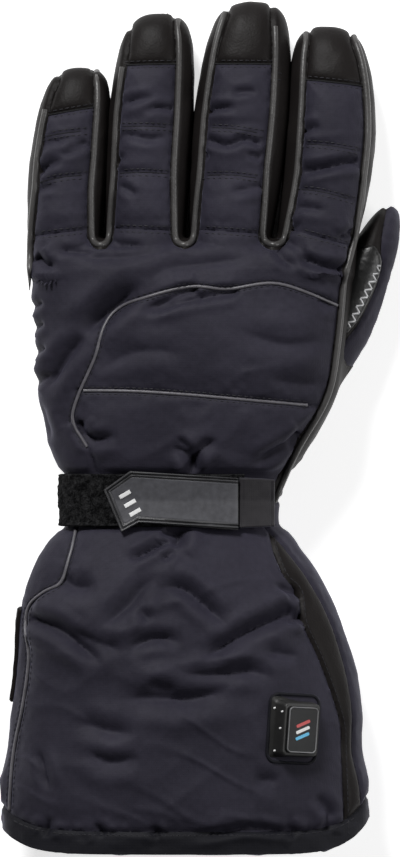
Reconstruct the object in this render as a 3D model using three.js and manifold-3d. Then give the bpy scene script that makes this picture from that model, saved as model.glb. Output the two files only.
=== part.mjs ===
// A left-hand heated winter glove with a long cuff, lying palm down.
// Millimetres. +Y runs to the fingertips, +X to the thumb, +Z up through the back of the hand.
// The origin is on the flat of the palm, crotchY below the finger crotches.
import * as THREE from 'three';
import Module from 'manifold-3d';
import { mergeVertices } from 'three/addons/utils/BufferGeometryUtils.js';

// Lengths along the hand
const crotchY = 36; // finger crotches, from the origin
const handLength = 104; // crotches to the wrist line
const cuffLength = 140; // wrist line to the lowest point of the hem
const hemCorner = 8; // how late the hem turns up towards a side
const hemBand = 9; // height of the hem binding
const bindProud = 0.8; // how far the binding stands out on both faces of the wall
const hemRiseLeft = 9; // how far the hem climbs at the little-finger side
const hemRiseRight = 14; // and at the thumb side

// Distances from the centreline to the little-finger side (left) and the thumb side (right)
const wristLeft = 51;
const wristRight = 37;
const hemLeft = 75;
const hemRight = 72;

// Heights off the surface
const handHeight = 46;
const wristHeight = 42;
const hemHeight = 60;
const handSink = 4; // how much of the padded palm the surface flattens
const fingerSink = 1.2;
const thumbLift = 9; // how far the thumb beneath raises the index side
const knuckleShift = 0.8; // how far the row of knuckles sits towards the thumb

// Walls of the padded shell
const backWall = 4.5;
const palmWall = 3;
const fingerWall = 3.2;
const cuffWall = 3.5;

// Gaps
const seamGap = 0.35; // between neighbouring pieces
const fingerGap = 3; // between finger roots
const thumbGap = 1.2; // between the thumb and the hand that lies against it

// Seams
const palmSeam = 10; // height of the seam round the palm leather
const sideHeight = 18; // height up to which the index side's strip holds the whole side wall
const cuffSeamLeft = 16; // height of the cuff's under-arm seam, little-finger side
const cuffSeamRight = 36; // and thumb side
const rimDepth = 3.6; // leather rim below each finger crotch
const littleStripEnd = 10; // lower end of the little finger's side strip

// Thumb
const thumbRootX = 30;
const thumbRootY = -50;
const thumbReach = 49.3; // sideways, root to tip
const thumbLength = 99.5;
const thumbWide = 30;
const thumbHigh = 31;
const thumbCrotch = 0.42; // share of thumbLength where it leaves the hand
const patchProud = 1.2;

// Piping, strap and heater switch
const pipingRadius = 1.1;
const strapWidth = 21;
const strapThick = 2.2;
const tabThick = 2.4;
const strapLow = 20; // where the strap ends on the little-finger side, above the surface
const switchWide = 16;
const switchLong = 21;
const switchHigh = 7;
const switchRound = 1.8;
const switchTurn = -4; // degrees, in plan
const switchLean = 12; // degrees, outwards past square to the cuff
const switchAcross = 0.61; // share of the half width
const switchAlong = 0.645; // share of cuffLength, from the wrist
const faceInset = 1.2;
const faceProud = 0.8;
const pullLong = 38;
const pullWide = 14;
const pullThick = 1.4;
const pullHeight = 20; // of its middle, above the surface
const pullAlong = 0.44; // share of cuffLength, from the wrist

const wristY = crotchY - handLength;
const hemY = wristY - cuffLength;

// One row for each finger, from the little finger to the index.
// root, wide: widths at the crotch and above it; long: crotch to tip; cap: leather tip's length;
// lean, bow: sideways travel of the tip and of the middle; seamLeft, seamRight: where the back
// panel ends, as shares of half the width; knuckle: knuckle seam above the crotch.
const fingers = [
  { name: 'little', root: 28.5, wide: 31, long: 69, high: 27, lean: 6.5, bow: -1.2,
    cap: 17, seamLeft: 0.76, seamRight: 0.57, knuckle: 3 },
  { name: 'ring', root: 30.5, wide: 33.2, long: 90.6, high: 29, lean: 5.6, bow: -1,
    cap: 20.4, seamLeft: 0.76, seamRight: 0.57, knuckle: 4 },
  { name: 'middle', root: 31.5, wide: 37.4, long: 95.2, high: 30, lean: 8.8, bow: -0.2,
    cap: 25, seamLeft: 0.74, seamRight: 0.6, knuckle: 3 },
  { name: 'index', root: 31, wide: 35.2, long: 85.2, high: 29, lean: 4.2, bow: 3.6,
    cap: 22, seamLeft: 0.64, seamRight: 0.78, knuckle: 1 },
];
const handWidth = fingers.reduce((sum, f) => sum + f.root, 0) + fingerGap * (fingers.length - 1);
const handHalf = handWidth / 2;
fingers.reduce((edge, f) => {
  f.x = edge + f.root / 2;
  return edge + f.root + fingerGap;
}, knuckleShift - handHalf);
const handLeft = handHalf - knuckleShift;
const handRight = handHalf + knuckleShift;

// Finger, root (0) to tip (1). wide: from root width (0) to full width (1); high: share of high
const fingerTaper = [
  { at: -0.4, wide: -1.6, high: 1.3 },
  { at: 0, wide: 0, high: 1.19 },
  { at: 0.3, wide: 0.8, high: 1.06 },
  { at: 0.55, wide: 1, high: 1 },
  { at: 0.85, wide: 1, high: 0.94 },
  { at: 1, wide: 0.98, high: 0.9 },
];
// Finger end, by distance back from the tip in finger widths
const fingerEnd = [
  { at: 0, wide: 0.16, high: 0.2 },
  { at: 0.05, wide: 0.48, high: 0.48 },
  { at: 0.18, wide: 0.71, high: 0.7 },
  { at: 0.5, wide: 0.88, high: 0.89 },
  { at: 1.2, wide: 1, high: 1 },
];
// Hand, wrist (0) to crotches (1). left, right: from the wrist's half width (0) to handHalf (1);
// high: from wristHeight (0) to handHeight (1)
const handRows = [
  { at: 0, left: 0, right: 0, high: 0 },
  { at: 0.1, left: 0, right: 0.1, high: 0.2 },
  { at: 0.17, left: 0.22, right: 0.26, high: 0.7 },
  { at: 0.28, left: 0.5, right: 0.5, high: 1 },
  { at: 0.42, left: 0.68, right: 0.74, high: 1 },
  { at: 0.6, left: 0.7, right: 0.84, high: 0.8 },
  { at: 0.78, left: 0.83, right: 0.93, high: 0.35 },
  { at: 0.9, left: 0.95, right: 0.97, high: 0 },
  { at: 1, left: 0.98, right: 0.98, high: -0.5 },
];
// Rounded end of the hand between the fingers, by distance back from the crotches over noseLength
const noseLength = 12;
const handNose = [
  { at: 0, high: 0.55 },
  { at: 0.35, high: 0.9 },
  { at: 1, high: 1 },
];
// Cuff, wrist (0) to hem (1). left, right, high: from the wrist's size (0) to the hem's (1)
const cuffRows = [
  { at: 0, left: 0, right: 0, high: 0 },
  { at: 0.075, left: 0, right: 0, high: 0.1 },
  { at: 0.13, left: 0.28, right: 0.16, high: 0.3 },
  { at: 0.22, left: 0.51, right: 0.4, high: 0.55 },
  { at: 0.33, left: 0.66, right: 0.62, high: 0.75 },
  { at: 0.47, left: 0.68, right: 0.8, high: 0.88 },
  { at: 0.6, left: 0.79, right: 0.885, high: 0.95 },
  { at: 0.71, left: 0.88, right: 0.875, high: 0.98 },
  { at: 0.82, left: 1, right: 0.97, high: 1 },
  { at: 1, left: 1.01, right: 1.01, high: 1 },
];
// Thumb, root (0) to tip (1). across: share of thumbReach; wide, high: shares of its sizes
const thumbRows = [
  { at: 0, across: 0, wide: 0.9, high: 0.8 },
  { at: 0.14, across: 0.16, wide: 1, high: 0.96 },
  { at: 0.28, across: 0.3, wide: 1, high: 1 },
  { at: 0.4, across: 0.47, wide: 0.95, high: 1 },
  { at: 0.52, across: 0.6, wide: 0.87, high: 0.95 },
  { at: 0.67, across: 0.735, wide: 0.77, high: 0.88 },
  { at: 0.8, across: 0.85, wide: 0.63, high: 0.8 },
  { at: 0.9, across: 0.935, wide: 0.46, high: 0.66 },
  { at: 0.965, across: 0.985, wide: 0.3, high: 0.43 },
  { at: 1, across: 1, wide: 0.12, high: 0.16 },
];
// Raise of the index side by the thumb, from the hem to the fingertips, in handLength
const liftRows = [
  { at: -1, lift: 0 },
  { at: 0, lift: 0.1 },
  { at: 0.5, lift: 1 },
  { at: 1, lift: 1 },
  { at: 1.9, lift: 0.2 },
];
// Main folds of the back, each a groove from one point to another. x: share of half the hand's
// width; y: above the wrist a share of handLength, below it of cuffLength; depth and reach in mm
const folds = [
  { x1: -0.89, y1: 0.42, x2: -0.55, y2: 0.635, depth: 2, reach: 7 },
  { x1: -0.08, y1: 0.23, x2: 0.04, y2: 0.1, depth: 1.8, reach: 6 },
  { x1: -0.37, y1: -0.17, x2: -0.09, y2: -0.13, depth: 1.5, reach: 6 },
  { x1: 0, y1: -0.28, x2: 0.24, y2: -0.36, depth: 1.4, reach: 6 },
  { x1: 0.12, y1: -0.46, x2: 0.62, y2: -0.33, depth: 2, reach: 7 },
  { x1: -0.8, y1: -0.36, x2: -0.43, y2: -0.47, depth: 1.6, reach: 7 },
  { x1: -0.43, y1: -0.56, x2: 0.49, y2: -0.49, depth: 1.8, reach: 7 },
];
// Seams on the back. across: share of the local half width; along: share of handLength from wrist
const arcSeam = [
  { across: 1.02, along: 0.72 },
  { across: 0.74, along: 0.79 },
  { across: 0.5, along: 0.83 },
  { across: 0.22, along: 0.808 },
  { across: -0.02, along: 0.817 },
  { across: -0.3, along: 0.775 },
  { across: -0.46, along: 0.738 },
  { across: -0.56, along: 0.672 },
  { across: -0.63, along: 0.545 },
  { across: -0.73, along: 0.41 },
  { across: -0.81, along: 0.33 },
  { across: -0.83, along: 0.28 },
  { across: -0.79, along: 0.235 },
  { across: -0.8, along: 0.17 },
  { across: -0.82, along: 0.09 },
];
const arcPipingEnd = 0.235; // where its piping stops; the seam runs on under the strap
const crossSeam = [
  { across: -0.76, along: 0.42 },
  { across: -0.4, along: 0.418 },
  { across: 0, along: 0.404 },
  { across: 0.45, along: 0.382 },
  { across: 1.04, along: 0.355 },
];
// Cuff piping, from under the strap to the hem; along: share of cuffLength from the wrist
const cuffSeam = [
  { across: -0.88, along: -0.02 },
  { across: -0.86, along: 0.086 },
  { across: -0.77, along: 0.18 },
  { across: -0.79, along: 0.235 },
  { across: -0.89, along: 0.262 },
  { across: -0.965, along: 0.3 },
  { across: -0.975, along: 0.36 },
  { across: -0.955, along: 0.45 },
  { across: -0.955, along: 0.58 },
  { across: -0.965, along: 0.75 },
  { across: -0.965, along: 1.02 },
];
// Inner edge of the leather gusset down the thumb side of the cuff
const gussetSeam = [
  { across: 0.88, along: -0.02 },
  { across: 0.85, along: 0.1 },
  { across: 0.77, along: 0.21 },
  { across: 0.82, along: 0.26 },
  { across: 0.77, along: 0.35 },
  { across: 0.81, along: 0.46 },
  { across: 0.88, along: 0.62 },
  { across: 0.9, along: 0.72 },
  { across: 0.86, along: 1.02 },
];
// Side seam of the back panels towards the thumb, crotches (1) to wrist (0)
const sideSeam = [
  { at: 0.85, across: 0.93 },
  { at: 0.6, across: 0.94 },
  { at: 0.4, across: 0.93 },
  { at: 0.2, across: 0.91 },
  { at: 0, across: 0.9 },
];
// Edge of the thumb's back panel, as a share of its half width
const thumbSeam = [
  { at: 1.02, across: -0.2 },
  { at: 0.9, across: 0.15 },
  { at: 0.82, across: 0.45 },
  { at: 0.76, across: 0.7 },
  { at: 0.68, across: 0.75 },
  { at: 0.6, across: 0.7 },
  { at: 0.51, across: 0.58 },
  { at: 0.42, across: 0.3 },
  { at: 0.33, across: 0 },
];
// Grip patch on the thumb's inner side, as shares of thumbLength and half width
const patchOutline = [
  { at: 0.49, across: 0.35 },
  { at: 0.56, across: 0.52 },
  { at: 0.7, across: 0.62 },
  { at: 0.77, across: 0.55 },
  { at: 0.82, across: 0.25 },
  { at: 0.84, across: -0.15 },
  { at: 0.8, across: -0.7 },
  { at: 0.64, across: -0.9 },
  { at: 0.52, across: -0.8 },
];
// Strap pieces in plan. across: share of the wrist's half width; along: share of strapWidth
const loopOutline = [
  { across: -1.2, along: 0.42 },
  { across: -0.92, along: 0.5 },
  { across: 0.59, along: 0.5 },
  { across: 0.59, along: -0.5 },
  { across: -0.92, along: -0.5 },
  { across: -1.2, along: -0.42 },
];
const strapEndOutline = [
  { across: 0.61, along: 0.44 },
  { across: 0.9, along: 0.4 },
  { across: 0.9, along: -0.5 },
  { across: 0.61, along: -0.53 },
];
const tabOutline = [
  { across: 0.6, along: 0.42 },
  { across: -0.38, along: 0.56 },
  { across: -0.62, along: 0.2 },
  { across: -0.46, along: -0.6 },
  { across: -0.3, along: -0.42 },
  { across: 0.6, along: -0.56 },
];
const palmPower = 2.5; // squareness of the hand's section, where 2 is an ellipse
const cuffPower = 2.3;
const fingerPower = 2.25;
const panelFlare = 0.12; // extra half-width share of a finger's back panel at its root
const fingerPanelEnd = 0.94; // where the panel's edges turn straight, as a share of the finger
const bodySides = 24; // facets round the hand and cuff
const fingerSides = 12;
const innerSides = 0.6; // facets inside, as a share of those outside
const far = 400; // beyond every part of the glove
const colours = {
  textile: 0x2b2a33,
  leather: 0x282627,
  loop: 0x141416,
  rubber: 0x3c3c40,
  piping: 0x55555a,
  patch: 0x151515,
  face: 0x1e1e20,
};

const wasm = await Module();
wasm.setup();

// Tables

const mix = (a, b, t) => a + (b - a) * t;

function column(rows, key, at) {
  const last = rows.length - 1;
  const t = Math.min(Math.max(at, rows[0].at), rows[last].at);
  let i = 0;
  while (i < last - 1 && t > rows[i + 1].at) i += 1;
  const slope = (k) => {
    const a = rows[Math.max(k - 1, 0)];
    const b = rows[Math.min(k + 1, last)];
    return (b[key] - a[key]) / (b.at - a.at);
  };
  const span = rows[i + 1].at - rows[i].at;
  const s = (t - rows[i].at) / span;
  const start = rows[i][key];
  const rise = rows[i + 1][key] - start;
  const m0 = slope(i) * span;
  const m1 = slope(i + 1) * span;
  return start + m0 * s + (3 * rise - 2 * m0 - m1) * s * s + (m0 + m1 - 2 * rise) * s * s * s;
}

// Sections: each gives the centre, half width and half height at a station along Y

function raise(x, y) {
  const share = column(liftRows, 'lift', (y - wristY) / handLength);
  const s = Math.min(Math.max((x + handHalf) / (2 * handHalf), 0), 1.2);
  return thumbLift * share * s * s;
}

const foldY = (share) => wristY + share * (share > 0 ? handLength : cuffLength);
const foldLines = folds.map((fold) => ({
  ...fold,
  line: new THREE.Line3(
    new THREE.Vector3(fold.x1 * handHalf, foldY(fold.y1), 0),
    new THREE.Vector3(fold.x2 * handHalf, foldY(fold.y2), 0),
  ),
}));

function dent(x, y) {
  const at = new THREE.Vector3(x, y, 0);
  const near = new THREE.Vector3();
  return foldLines.reduce((sum, fold) => {
    fold.line.closestPointToPoint(at, true, near);
    return sum + fold.depth * Math.exp(-((near.distanceTo(at) / fold.reach) ** 2));
  }, 0);
}

function bodySection(y) {
  const onHand = y >= wristY;
  const at = onHand ? (y - wristY) / handLength : (wristY - y) / cuffLength;
  const rows = onHand ? handRows : cuffRows;
  const left = mix(wristLeft, onHand ? handLeft : hemLeft, column(rows, 'left', at));
  const right = mix(wristRight, onHand ? handRight : hemRight, column(rows, 'right', at));
  const high = mix(wristHeight, onHand ? handHeight : hemHeight, column(rows, 'high', at));
  const nose = column(handNose, 'high', Math.min((crotchY - y) / noseLength, 1));
  const half = high / 2;
  return {
    y,
    x: (right - left) / 2,
    wide: (left + right) / 2,
    z: half - handSink,
    high: half * nose,
    power: onHand ? palmPower : cuffPower,
  };
}

function fingerSection(f, y) {
  const t = (y - crotchY) / f.long;
  const back = (crotchY + f.long - y) / f.wide;
  const full = (f.high * column(fingerTaper, 'high', t)) / 2;
  const wide = mix(f.root, f.wide, column(fingerTaper, 'wide', t)) / 2;
  const s = Math.max(t, 0);
  return {
    y,
    x: f.x + f.lean * s + 4 * f.bow * s * (1 - s),
    wide: wide * column(fingerEnd, 'wide', back),
    z: full - fingerSink,
    high: full * column(fingerEnd, 'high', back),
    power: fingerPower,
  };
}

function thumbSection(at) {
  return {
    y: thumbRootY + at * thumbLength,
    x: thumbRootX + thumbReach * column(thumbRows, 'across', at),
    wide: (thumbWide * column(thumbRows, 'wide', at)) / 2,
    z: thumbHigh / 2 - fingerSink,
    high: (thumbHigh * column(thumbRows, 'high', at)) / 2,
    power: fingerPower,
  };
}

const grown = (s, by) => ({ ...s, wide: s.wide + by, high: s.high + by });

// A superellipse's point, turned by angle
function onSection(s, angle) {
  const c = Math.cos(angle);
  const v = Math.sin(angle);
  return new THREE.Vector3(
    s.x + s.wide * Math.sign(c) * Math.abs(c) ** (2 / s.power),
    s.y,
    s.z + s.high * Math.sign(v) * Math.abs(v) ** (2 / s.power),
  );
}

function topOf(s, x) {
  const share = Math.min(Math.abs(x - s.x) / s.wide, 1);
  return s.z + s.high * (1 - share ** s.power) ** (1 / s.power);
}

// Raises a point with the thumb beneath it, and lowers it into the folds of the back
function settle(point, s) {
  const up = Math.max(point.z - s.z, 0) / s.high;
  point.z += raise(point.x, point.y) - dent(point.x, point.y) * up;
  return point;
}

function bodyTop(x, y) {
  const s = bodySection(y);
  return settle(new THREE.Vector3(x, y, topOf(s, x)), s).z;
}

// Solids

function solidOf(geometry) {
  const bare = geometry.clone();
  bare.deleteAttribute('normal');
  bare.deleteAttribute('uv');
  const merged = mergeVertices(bare, 1e-4);
  return new wasm.Manifold(
    new wasm.Mesh({
      numProp: 3,
      vertProperties: merged.attributes.position.array,
      triVerts: new Uint32Array(merged.index.array),
    }),
  );
}

// Rings of points of equal count, closed round and capped at both ends
function skin(rings) {
  const count = rings[0].length;
  const points = rings.flat();
  const faces = [];
  for (let i = 0; i < rings.length - 1; i += 1) {
    for (let k = 0; k < count; k += 1) {
      const a = i * count + k;
      const b = i * count + ((k + 1) % count);
      faces.push(a, b, a + count, b, b + count, a + count);
    }
  }
  for (let k = 1; k < count - 1; k += 1) {
    faces.push(0, k + 1, k);
    const end = (rings.length - 1) * count;
    faces.push(end, end + k, end + k + 1);
  }
  const geometry = new THREE.BufferGeometry().setFromPoints(points);
  geometry.setIndex(faces);
  return geometry;
}

function loft(sections, sides, lifted = true) {
  const count = Math.round(sides);
  const rings = sections.map((s) =>
    Array.from({ length: count }, (_, k) => {
      const point = onSection(s, (2 * Math.PI * k) / count);
      return lifted ? settle(point, s) : point;
    }),
  );
  return solidOf(skin(rings));
}

function box(low, high) {
  const size = new THREE.Vector3().subVectors(high, low);
  const geometry = new THREE.BoxGeometry(size.x, size.y, size.z);
  const centre = new THREE.Vector3().addVectors(high, low).multiplyScalar(0.5);
  return solidOf(geometry.translate(centre.x, centre.y, centre.z));
}

const plan = (x, y) => new THREE.Vector2(x, y);

// An outline in plan, moved outwards by a distance
function widened(outline, by) {
  const turn = Math.sign(THREE.ShapeUtils.area(outline));
  return outline.map((p, i) => {
    const before = outline[(i + outline.length - 1) % outline.length];
    const after = outline[(i + 1) % outline.length];
    const a = new THREE.Vector2().subVectors(p, before).normalize();
    const b = new THREE.Vector2().subVectors(after, p).normalize();
    const along = a.clone().add(b).normalize();
    const reach = by / Math.max(Math.abs(along.dot(a)), 0.4);
    return new THREE.Vector2(p.x + along.y * turn * reach, p.y - along.x * turn * reach);
  });
}

function prism(outline, by = 0, low = -far) {
  const shape = new THREE.Shape(by ? widened(outline, by) : outline);
  const geometry = new THREE.ExtrudeGeometry(shape, { depth: far - low, bevelEnabled: false });
  return solidOf(geometry.translate(0, 0, low));
}

// The body that holds most of a cut solid, without the crumbs that a cut can leave
function mainBody(solid) {
  return solid.decompose().sort((a, b) => b.volume() - a.volume())[0];
}

const glove = new THREE.Group();

function addPiece(name, solid, colour, roughness = 0.8, metalness = 0) {
  const mesh = mainBody(solid).getMesh();
  const geometry = new THREE.BufferGeometry();
  geometry.setAttribute('position', new THREE.BufferAttribute(mesh.vertProperties, 3));
  geometry.setIndex(new THREE.BufferAttribute(mesh.triVerts, 1));
  geometry.computeVertexNormals();
  const material = new THREE.MeshStandardMaterial({ color: colour, roughness, metalness });
  const piece = new THREE.Mesh(geometry, material);
  piece.name = name;
  glove.add(piece);
}

// Stations along Y, from the fingertips towards the hem

const steps = (from, to, count) =>
  Array.from({ length: count + 1 }, (_, i) => mix(from, to, i / count));
const everySecond = (list) => list.filter((_, i) => i % 2 === 0 || i === list.length - 1);
const noseStations = handNose.map((row) => crotchY - row.at * noseLength);
const handStations = handRows.slice(0, -1).map((row) => wristY + row.at * handLength).reverse();
const cuffStations = cuffRows.slice(1).map((row) => wristY - row.at * cuffLength);
const bodyStations = [...noseStations, ...handStations, ...cuffStations, hemY - hemBand];
const thumbStations = thumbRows.map((row) => row.at).reverse();

function fingerStations(f, wall) {
  const tip = crotchY + f.long - wall;
  const end = fingerEnd.map((row) => tip - row.at * f.wide);
  return [...end, ...steps(end[end.length - 1], crotchY - noseLength, 3).slice(1)];
}

// The outer and the inner form, each a union of lofts

function bodyLoft(by) {
  return loft(bodyStations.map((y) => grown(bodySection(y), by)), bodySides);
}

function fingerOuter(f) {
  return loft(fingerStations(f, 0).map((y) => fingerSection(f, y)), fingerSides);
}

function fingerInner(f) {
  const sections = everySecond(fingerStations(f, fingerWall)).map((y) => {
    const s = grown(fingerSection(f, y + fingerWall / 2), -fingerWall);
    return { ...s, y };
  });
  return loft(sections.filter((s) => s.wide > 2 && s.high > 2), fingerSides * innerSides);
}

function thumbLoft(by, from = 0, to = 1, sides = fingerSides) {
  const between = thumbStations.filter((at) => at > from && at < to);
  const rows = [to, ...between, from].map((at) => grown(thumbSection(at), by));
  return loft(rows.filter((s) => s.wide > 1 && s.high > 1), sides, false);
}

function innerBody() {
  const sections = [crotchY - palmWall, ...everySecond(bodyStations.slice(2))].map((y) => {
    const s = bodySection(Math.min(y + palmWall, crotchY));
    return grown({ ...s, y }, y > wristY ? -backWall : -cuffWall);
  });
  return loft(sections, bodySides * innerSides);
}

const corner = (x, y, z) => new THREE.Vector3(x, y, z);
const floor = (height) => box(corner(-far, -far, -far), corner(far, far, height));
const wholeThumb = thumbLoft(0);
const thumbSpace = thumbLoft(thumbGap, thumbCrotch);
const handOuter = fingers
  .reduce((solid, f) => solid.add(fingerOuter(f)), bodyLoft(0))
  .subtract(thumbSpace);
const outer = handOuter.add(wholeThumb).subtract(floor(0));

const thumbHollow = thumbLoft(-fingerWall, 0.1, 0.95, fingerSides * innerSides);
const thumbBarrier = thumbLoft(thumbGap + fingerWall, thumbCrotch + 0.02);
const inner = fingers
  .reduce((solid, f) => solid.add(fingerInner(f)), innerBody())
  .subtract(thumbBarrier)
  .add(thumbHollow)
  .subtract(floor(palmWall));

// The hem follows a shallow curve that climbs at both sides
function hemLine(x) {
  const left = x < 0;
  const share = Math.abs(x) / (left ? hemLeft : hemRight);
  return hemY + (left ? hemRiseLeft : hemRiseRight) * share ** hemCorner;
}

function belowHem(up) {
  const reach = Math.max(hemLeft, hemRight) + hemBand;
  const line = steps(0, Math.PI, 14).map((angle) => {
    const x = -reach * Math.cos(angle);
    return plan(x, hemLine(x) + up);
  });
  return prism([...line, plan(far, -far), plan(-far, -far)]);
}

// Plan outlines

function seamPoint(row, onCuff) {
  const y = onCuff ? wristY - row.along * cuffLength : wristY + row.along * handLength;
  const s = bodySection(y);
  return plan(s.x + row.across * s.wide, y);
}

function seamCurve(rows, count, onCuff = false) {
  const points = rows.map((row) => seamPoint(row, onCuff)).map((p) => corner(p.x, p.y, 0));
  const curve = new THREE.CatmullRomCurve3(points, false, 'centripetal');
  return curve.getPoints(count).map((p) => plan(p.x, p.y));
}

// Edge of a finger's back panel; the panel widens a little where the rims close at its root
function panelEdge(f, y, side) {
  const end = crotchY + f.long * fingerPanelEnd;
  const s = fingerSection(f, Math.min(y, end));
  const spread = panelFlare * Math.max(1 - (y - crotchY) / (f.long * 0.3), 0);
  return s.x + side * s.wide * ((side < 0 ? f.seamLeft : f.seamRight) + spread);
}

// A finger's own column in plan, out to the middle of the gaps beside it
function fingerColumn(f, from, to) {
  const centre = (y) => f.x + (f.lean * (y - crotchY)) / f.long;
  const reach = (f.wide + fingerGap) / 2;
  return [
    plan(centre(from) - reach, from),
    plan(centre(from) + reach, from),
    plan(centre(to) + reach, to),
    plan(centre(to) - reach, to),
  ];
}

// The strip between two fingers, with a round end below the crotch
function tongue(a, b) {
  const top = crotchY + Math.max(a.long, b.long) + palmWall;
  const low = crotchY + rimDepth / 2;
  const stations = [top, ...steps(crotchY + Math.min(a.long, b.long), low, 4)];
  const left = stations.map((y) => plan(panelEdge(a, y, 1), y));
  const right = stations.map((y) => plan(panelEdge(b, y, -1), y));
  const from = left[left.length - 1];
  const to = right[right.length - 1];
  const round = steps(0, Math.PI, 6).slice(1, -1).map((angle) => {
    const across = (1 - Math.cos(angle)) / 2;
    return plan(mix(from.x, to.x, across), low - rimDepth * 1.5 * Math.sin(angle));
  });
  return [...left, ...round, ...right.reverse()];
}

// All that lies below a seam height, which may differ from left to right
function seamSlab(left, right, from, to, by) {
  const reach = 1.5 * handHalf;
  const across = steps(-reach, reach, 4);
  const rings = steps(to, from, 6).map((y) => {
    const top = across.map((x) =>
      corner(x, y, mix(left, right, (x + handHalf) / handWidth) + by + raise(x, y)),
    );
    return [corner(-reach, y, -far), corner(reach, y, -far), ...top.reverse()];
  });
  return solidOf(skin(rings));
}

// Cutting: each piece is taken out of what is left, with a seam gap behind it

let leftover = outer.subtract(inner).subtract(belowHem(0));

function take(region) {
  const piece = leftover.intersect(region(0));
  leftover = leftover.subtract(region(seamGap));
  return piece;
}

const beside = (line, x) => [...line, plan(x, line[line.length - 1].y), plan(x, line[0].y)];
const takePrism = (outline) => take((by) => prism(outline, by));
const topY = crotchY + Math.max(...fingers.map((f) => f.long)) + palmWall;
const [little, ring, middle, index] = fingers;

// Thumb, cut free of the hand where it leaves it
const thumbJoin = thumbCrotch - 0.06;
const thumbShell = take((by) => thumbLoft((thumbGap + by) / 2, thumbJoin - by / thumbLength));

function onThumb(row) {
  const s = thumbSection(Math.min(row.at, 1));
  return plan(s.x + s.wide * row.across, thumbRootY + row.at * thumbLength);
}
const thumbBack = (by) => prism(beside(thumbSeam.map(onThumb), far), by, palmSeam - by);
addPiece('thumb_back', thumbShell.intersect(thumbBack(0)), colours.textile, 0.7);
addPiece('thumb_palm', thumbShell.subtract(thumbBack(seamGap)), colours.leather, 0.45);

const patchLayer = thumbLoft(patchProud + seamGap, thumbJoin)
  .subtract(thumbLoft(seamGap, thumbJoin - 0.02))
  .subtract(handOuter);
const patchRegion = prism(patchOutline.map(onThumb), 0, thumbHigh / 2);
addPiece('thumb_patch', patchLayer.intersect(patchRegion), colours.patch, 0.4);

// Palm leather, with the undersides of the fingers
const palmPiece = take((by) => seamSlab(palmSeam, palmSeam, wristY - by, topY, by));
addPiece('palm', palmPiece, colours.leather, 0.5);

// Leather between the fingers and along both edges
for (const [a, b] of [[little, ring], [ring, middle], [middle, index]]) {
  addPiece(`fourchette_${a.name}_${b.name}`, takePrism(tongue(a, b)), colours.leather, 0.45);
}

const littleEdge = steps(crotchY, crotchY + little.long, 5).map((y) => plan(panelEdge(little, y, -1), y));
const littleStrip = [
  plan(-handLeft, littleStripEnd),
  ...littleEdge,
  plan(littleEdge[littleEdge.length - 1].x, topY),
];
addPiece('little_side_strip', takePrism(beside(littleStrip, -far)), colours.leather, 0.45);

const indexEdge = steps(crotchY + index.long, crotchY, 5).map((y) => plan(panelEdge(index, y, 1), y));
const lowSideOutline = [
  plan(wristRight / 2, wristY),
  plan(far, wristY),
  plan(far, crotchY),
  plan(wristRight / 2, crotchY - rimDepth * 3),
];
const indexStrip = [
  plan(indexEdge[0].x, topY),
  ...indexEdge,
  ...sideSeam.map((row) => seamPoint({ across: row.across, along: row.at }, false)),
];
const lowSide = (by) =>
  seamSlab(sideHeight, sideHeight, wristY, crotchY, by).intersect(prism(lowSideOutline, by));
const indexSide = take((by) => prism(beside(indexStrip, far), by).add(lowSide(by)));
addPiece('index_side_strip', indexSide, colours.leather, 0.45);

// Finger backs and leather caps
for (const f of fingers) {
  const seam = crotchY + f.long - f.cap;
  addPiece(`${f.name}_cap`, takePrism(fingerColumn(f, seam, topY)), colours.leather, 0.4);
  const back = takePrism(fingerColumn(f, crotchY + f.knuckle, seam));
  addPiece(`${f.name}_back`, back, colours.textile, 0.7);
}

// Piping, half sunk in its seam: its channel is cut before the panels part
function pipingTube(line, radius) {
  const spine = line.map((p) => corner(p.x, p.y, bodyTop(p.x, p.y)));
  const round = new THREE.Shape();
  round.absarc(0, 0, radius, 0, 2 * Math.PI);
  const geometry = new THREE.ExtrudeGeometry(round, {
    steps: line.length - 1,
    curveSegments: 3,
    bevelEnabled: false,
    extrudePath: new THREE.CatmullRomCurve3(spine, false, 'centripetal'),
  });
  return solidOf(geometry);
}

const arc = seamCurve(arcSeam, 17);
const cross = seamCurve(crossSeam, 5);
const cuffCurve = seamCurve(cuffSeam, 16, true);
const gusset = seamCurve(gussetSeam, 9, true);
const arcEndY = wristY + arcPipingEnd * handLength;
const strapBottom = wristY - strapWidth / 2;
const pipings = [
  {
    name: 'arc_piping',
    line: arc.filter((p) => p.y > arcEndY && p.x < arc[0].x - 2 * pipingRadius),
  },
  { name: 'cross_piping', line: cross.slice(1, -1) },
  {
    name: 'cuff_piping',
    line: cuffCurve.filter((p) => p.y < strapBottom && p.y > hemLine(p.x) + hemBand + pipingRadius),
  },
];
for (const p of pipings) {
  leftover = leftover.subtract(pipingTube(p.line, pipingRadius + seamGap));
  addPiece(p.name, pipingTube(p.line, pipingRadius), colours.piping, 0.5);
}

// Back of the hand in three panels, parted by the piping seams
const crossY = cross[0].y;
const arcAbove = arc.filter((p) => p.y > crossY);
const arcBelow = arc.filter((p) => p.y <= crossY);
const crossEnd = cross[cross.length - 1];
const centreOutline = [...arcAbove, ...cross, plan(far, crossEnd.y), plan(far, arc[0].y)];
addPiece('hand_back_centre', takePrism(centreOutline), colours.textile, 0.7);
const lowerOutline = [
  plan(far, crossEnd.y),
  ...[...cross].reverse(),
  ...arcBelow,
  plan(arc[arc.length - 1].x, wristY),
  plan(far, wristY),
];
addPiece('hand_back_lower', takePrism(lowerOutline), colours.textile, 0.7);
const handOutline = [plan(-far, wristY), plan(far, wristY), plan(far, topY), plan(-far, topY)];
addPiece('hand_back_upper', takePrism(handOutline), colours.textile, 0.7);

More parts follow.
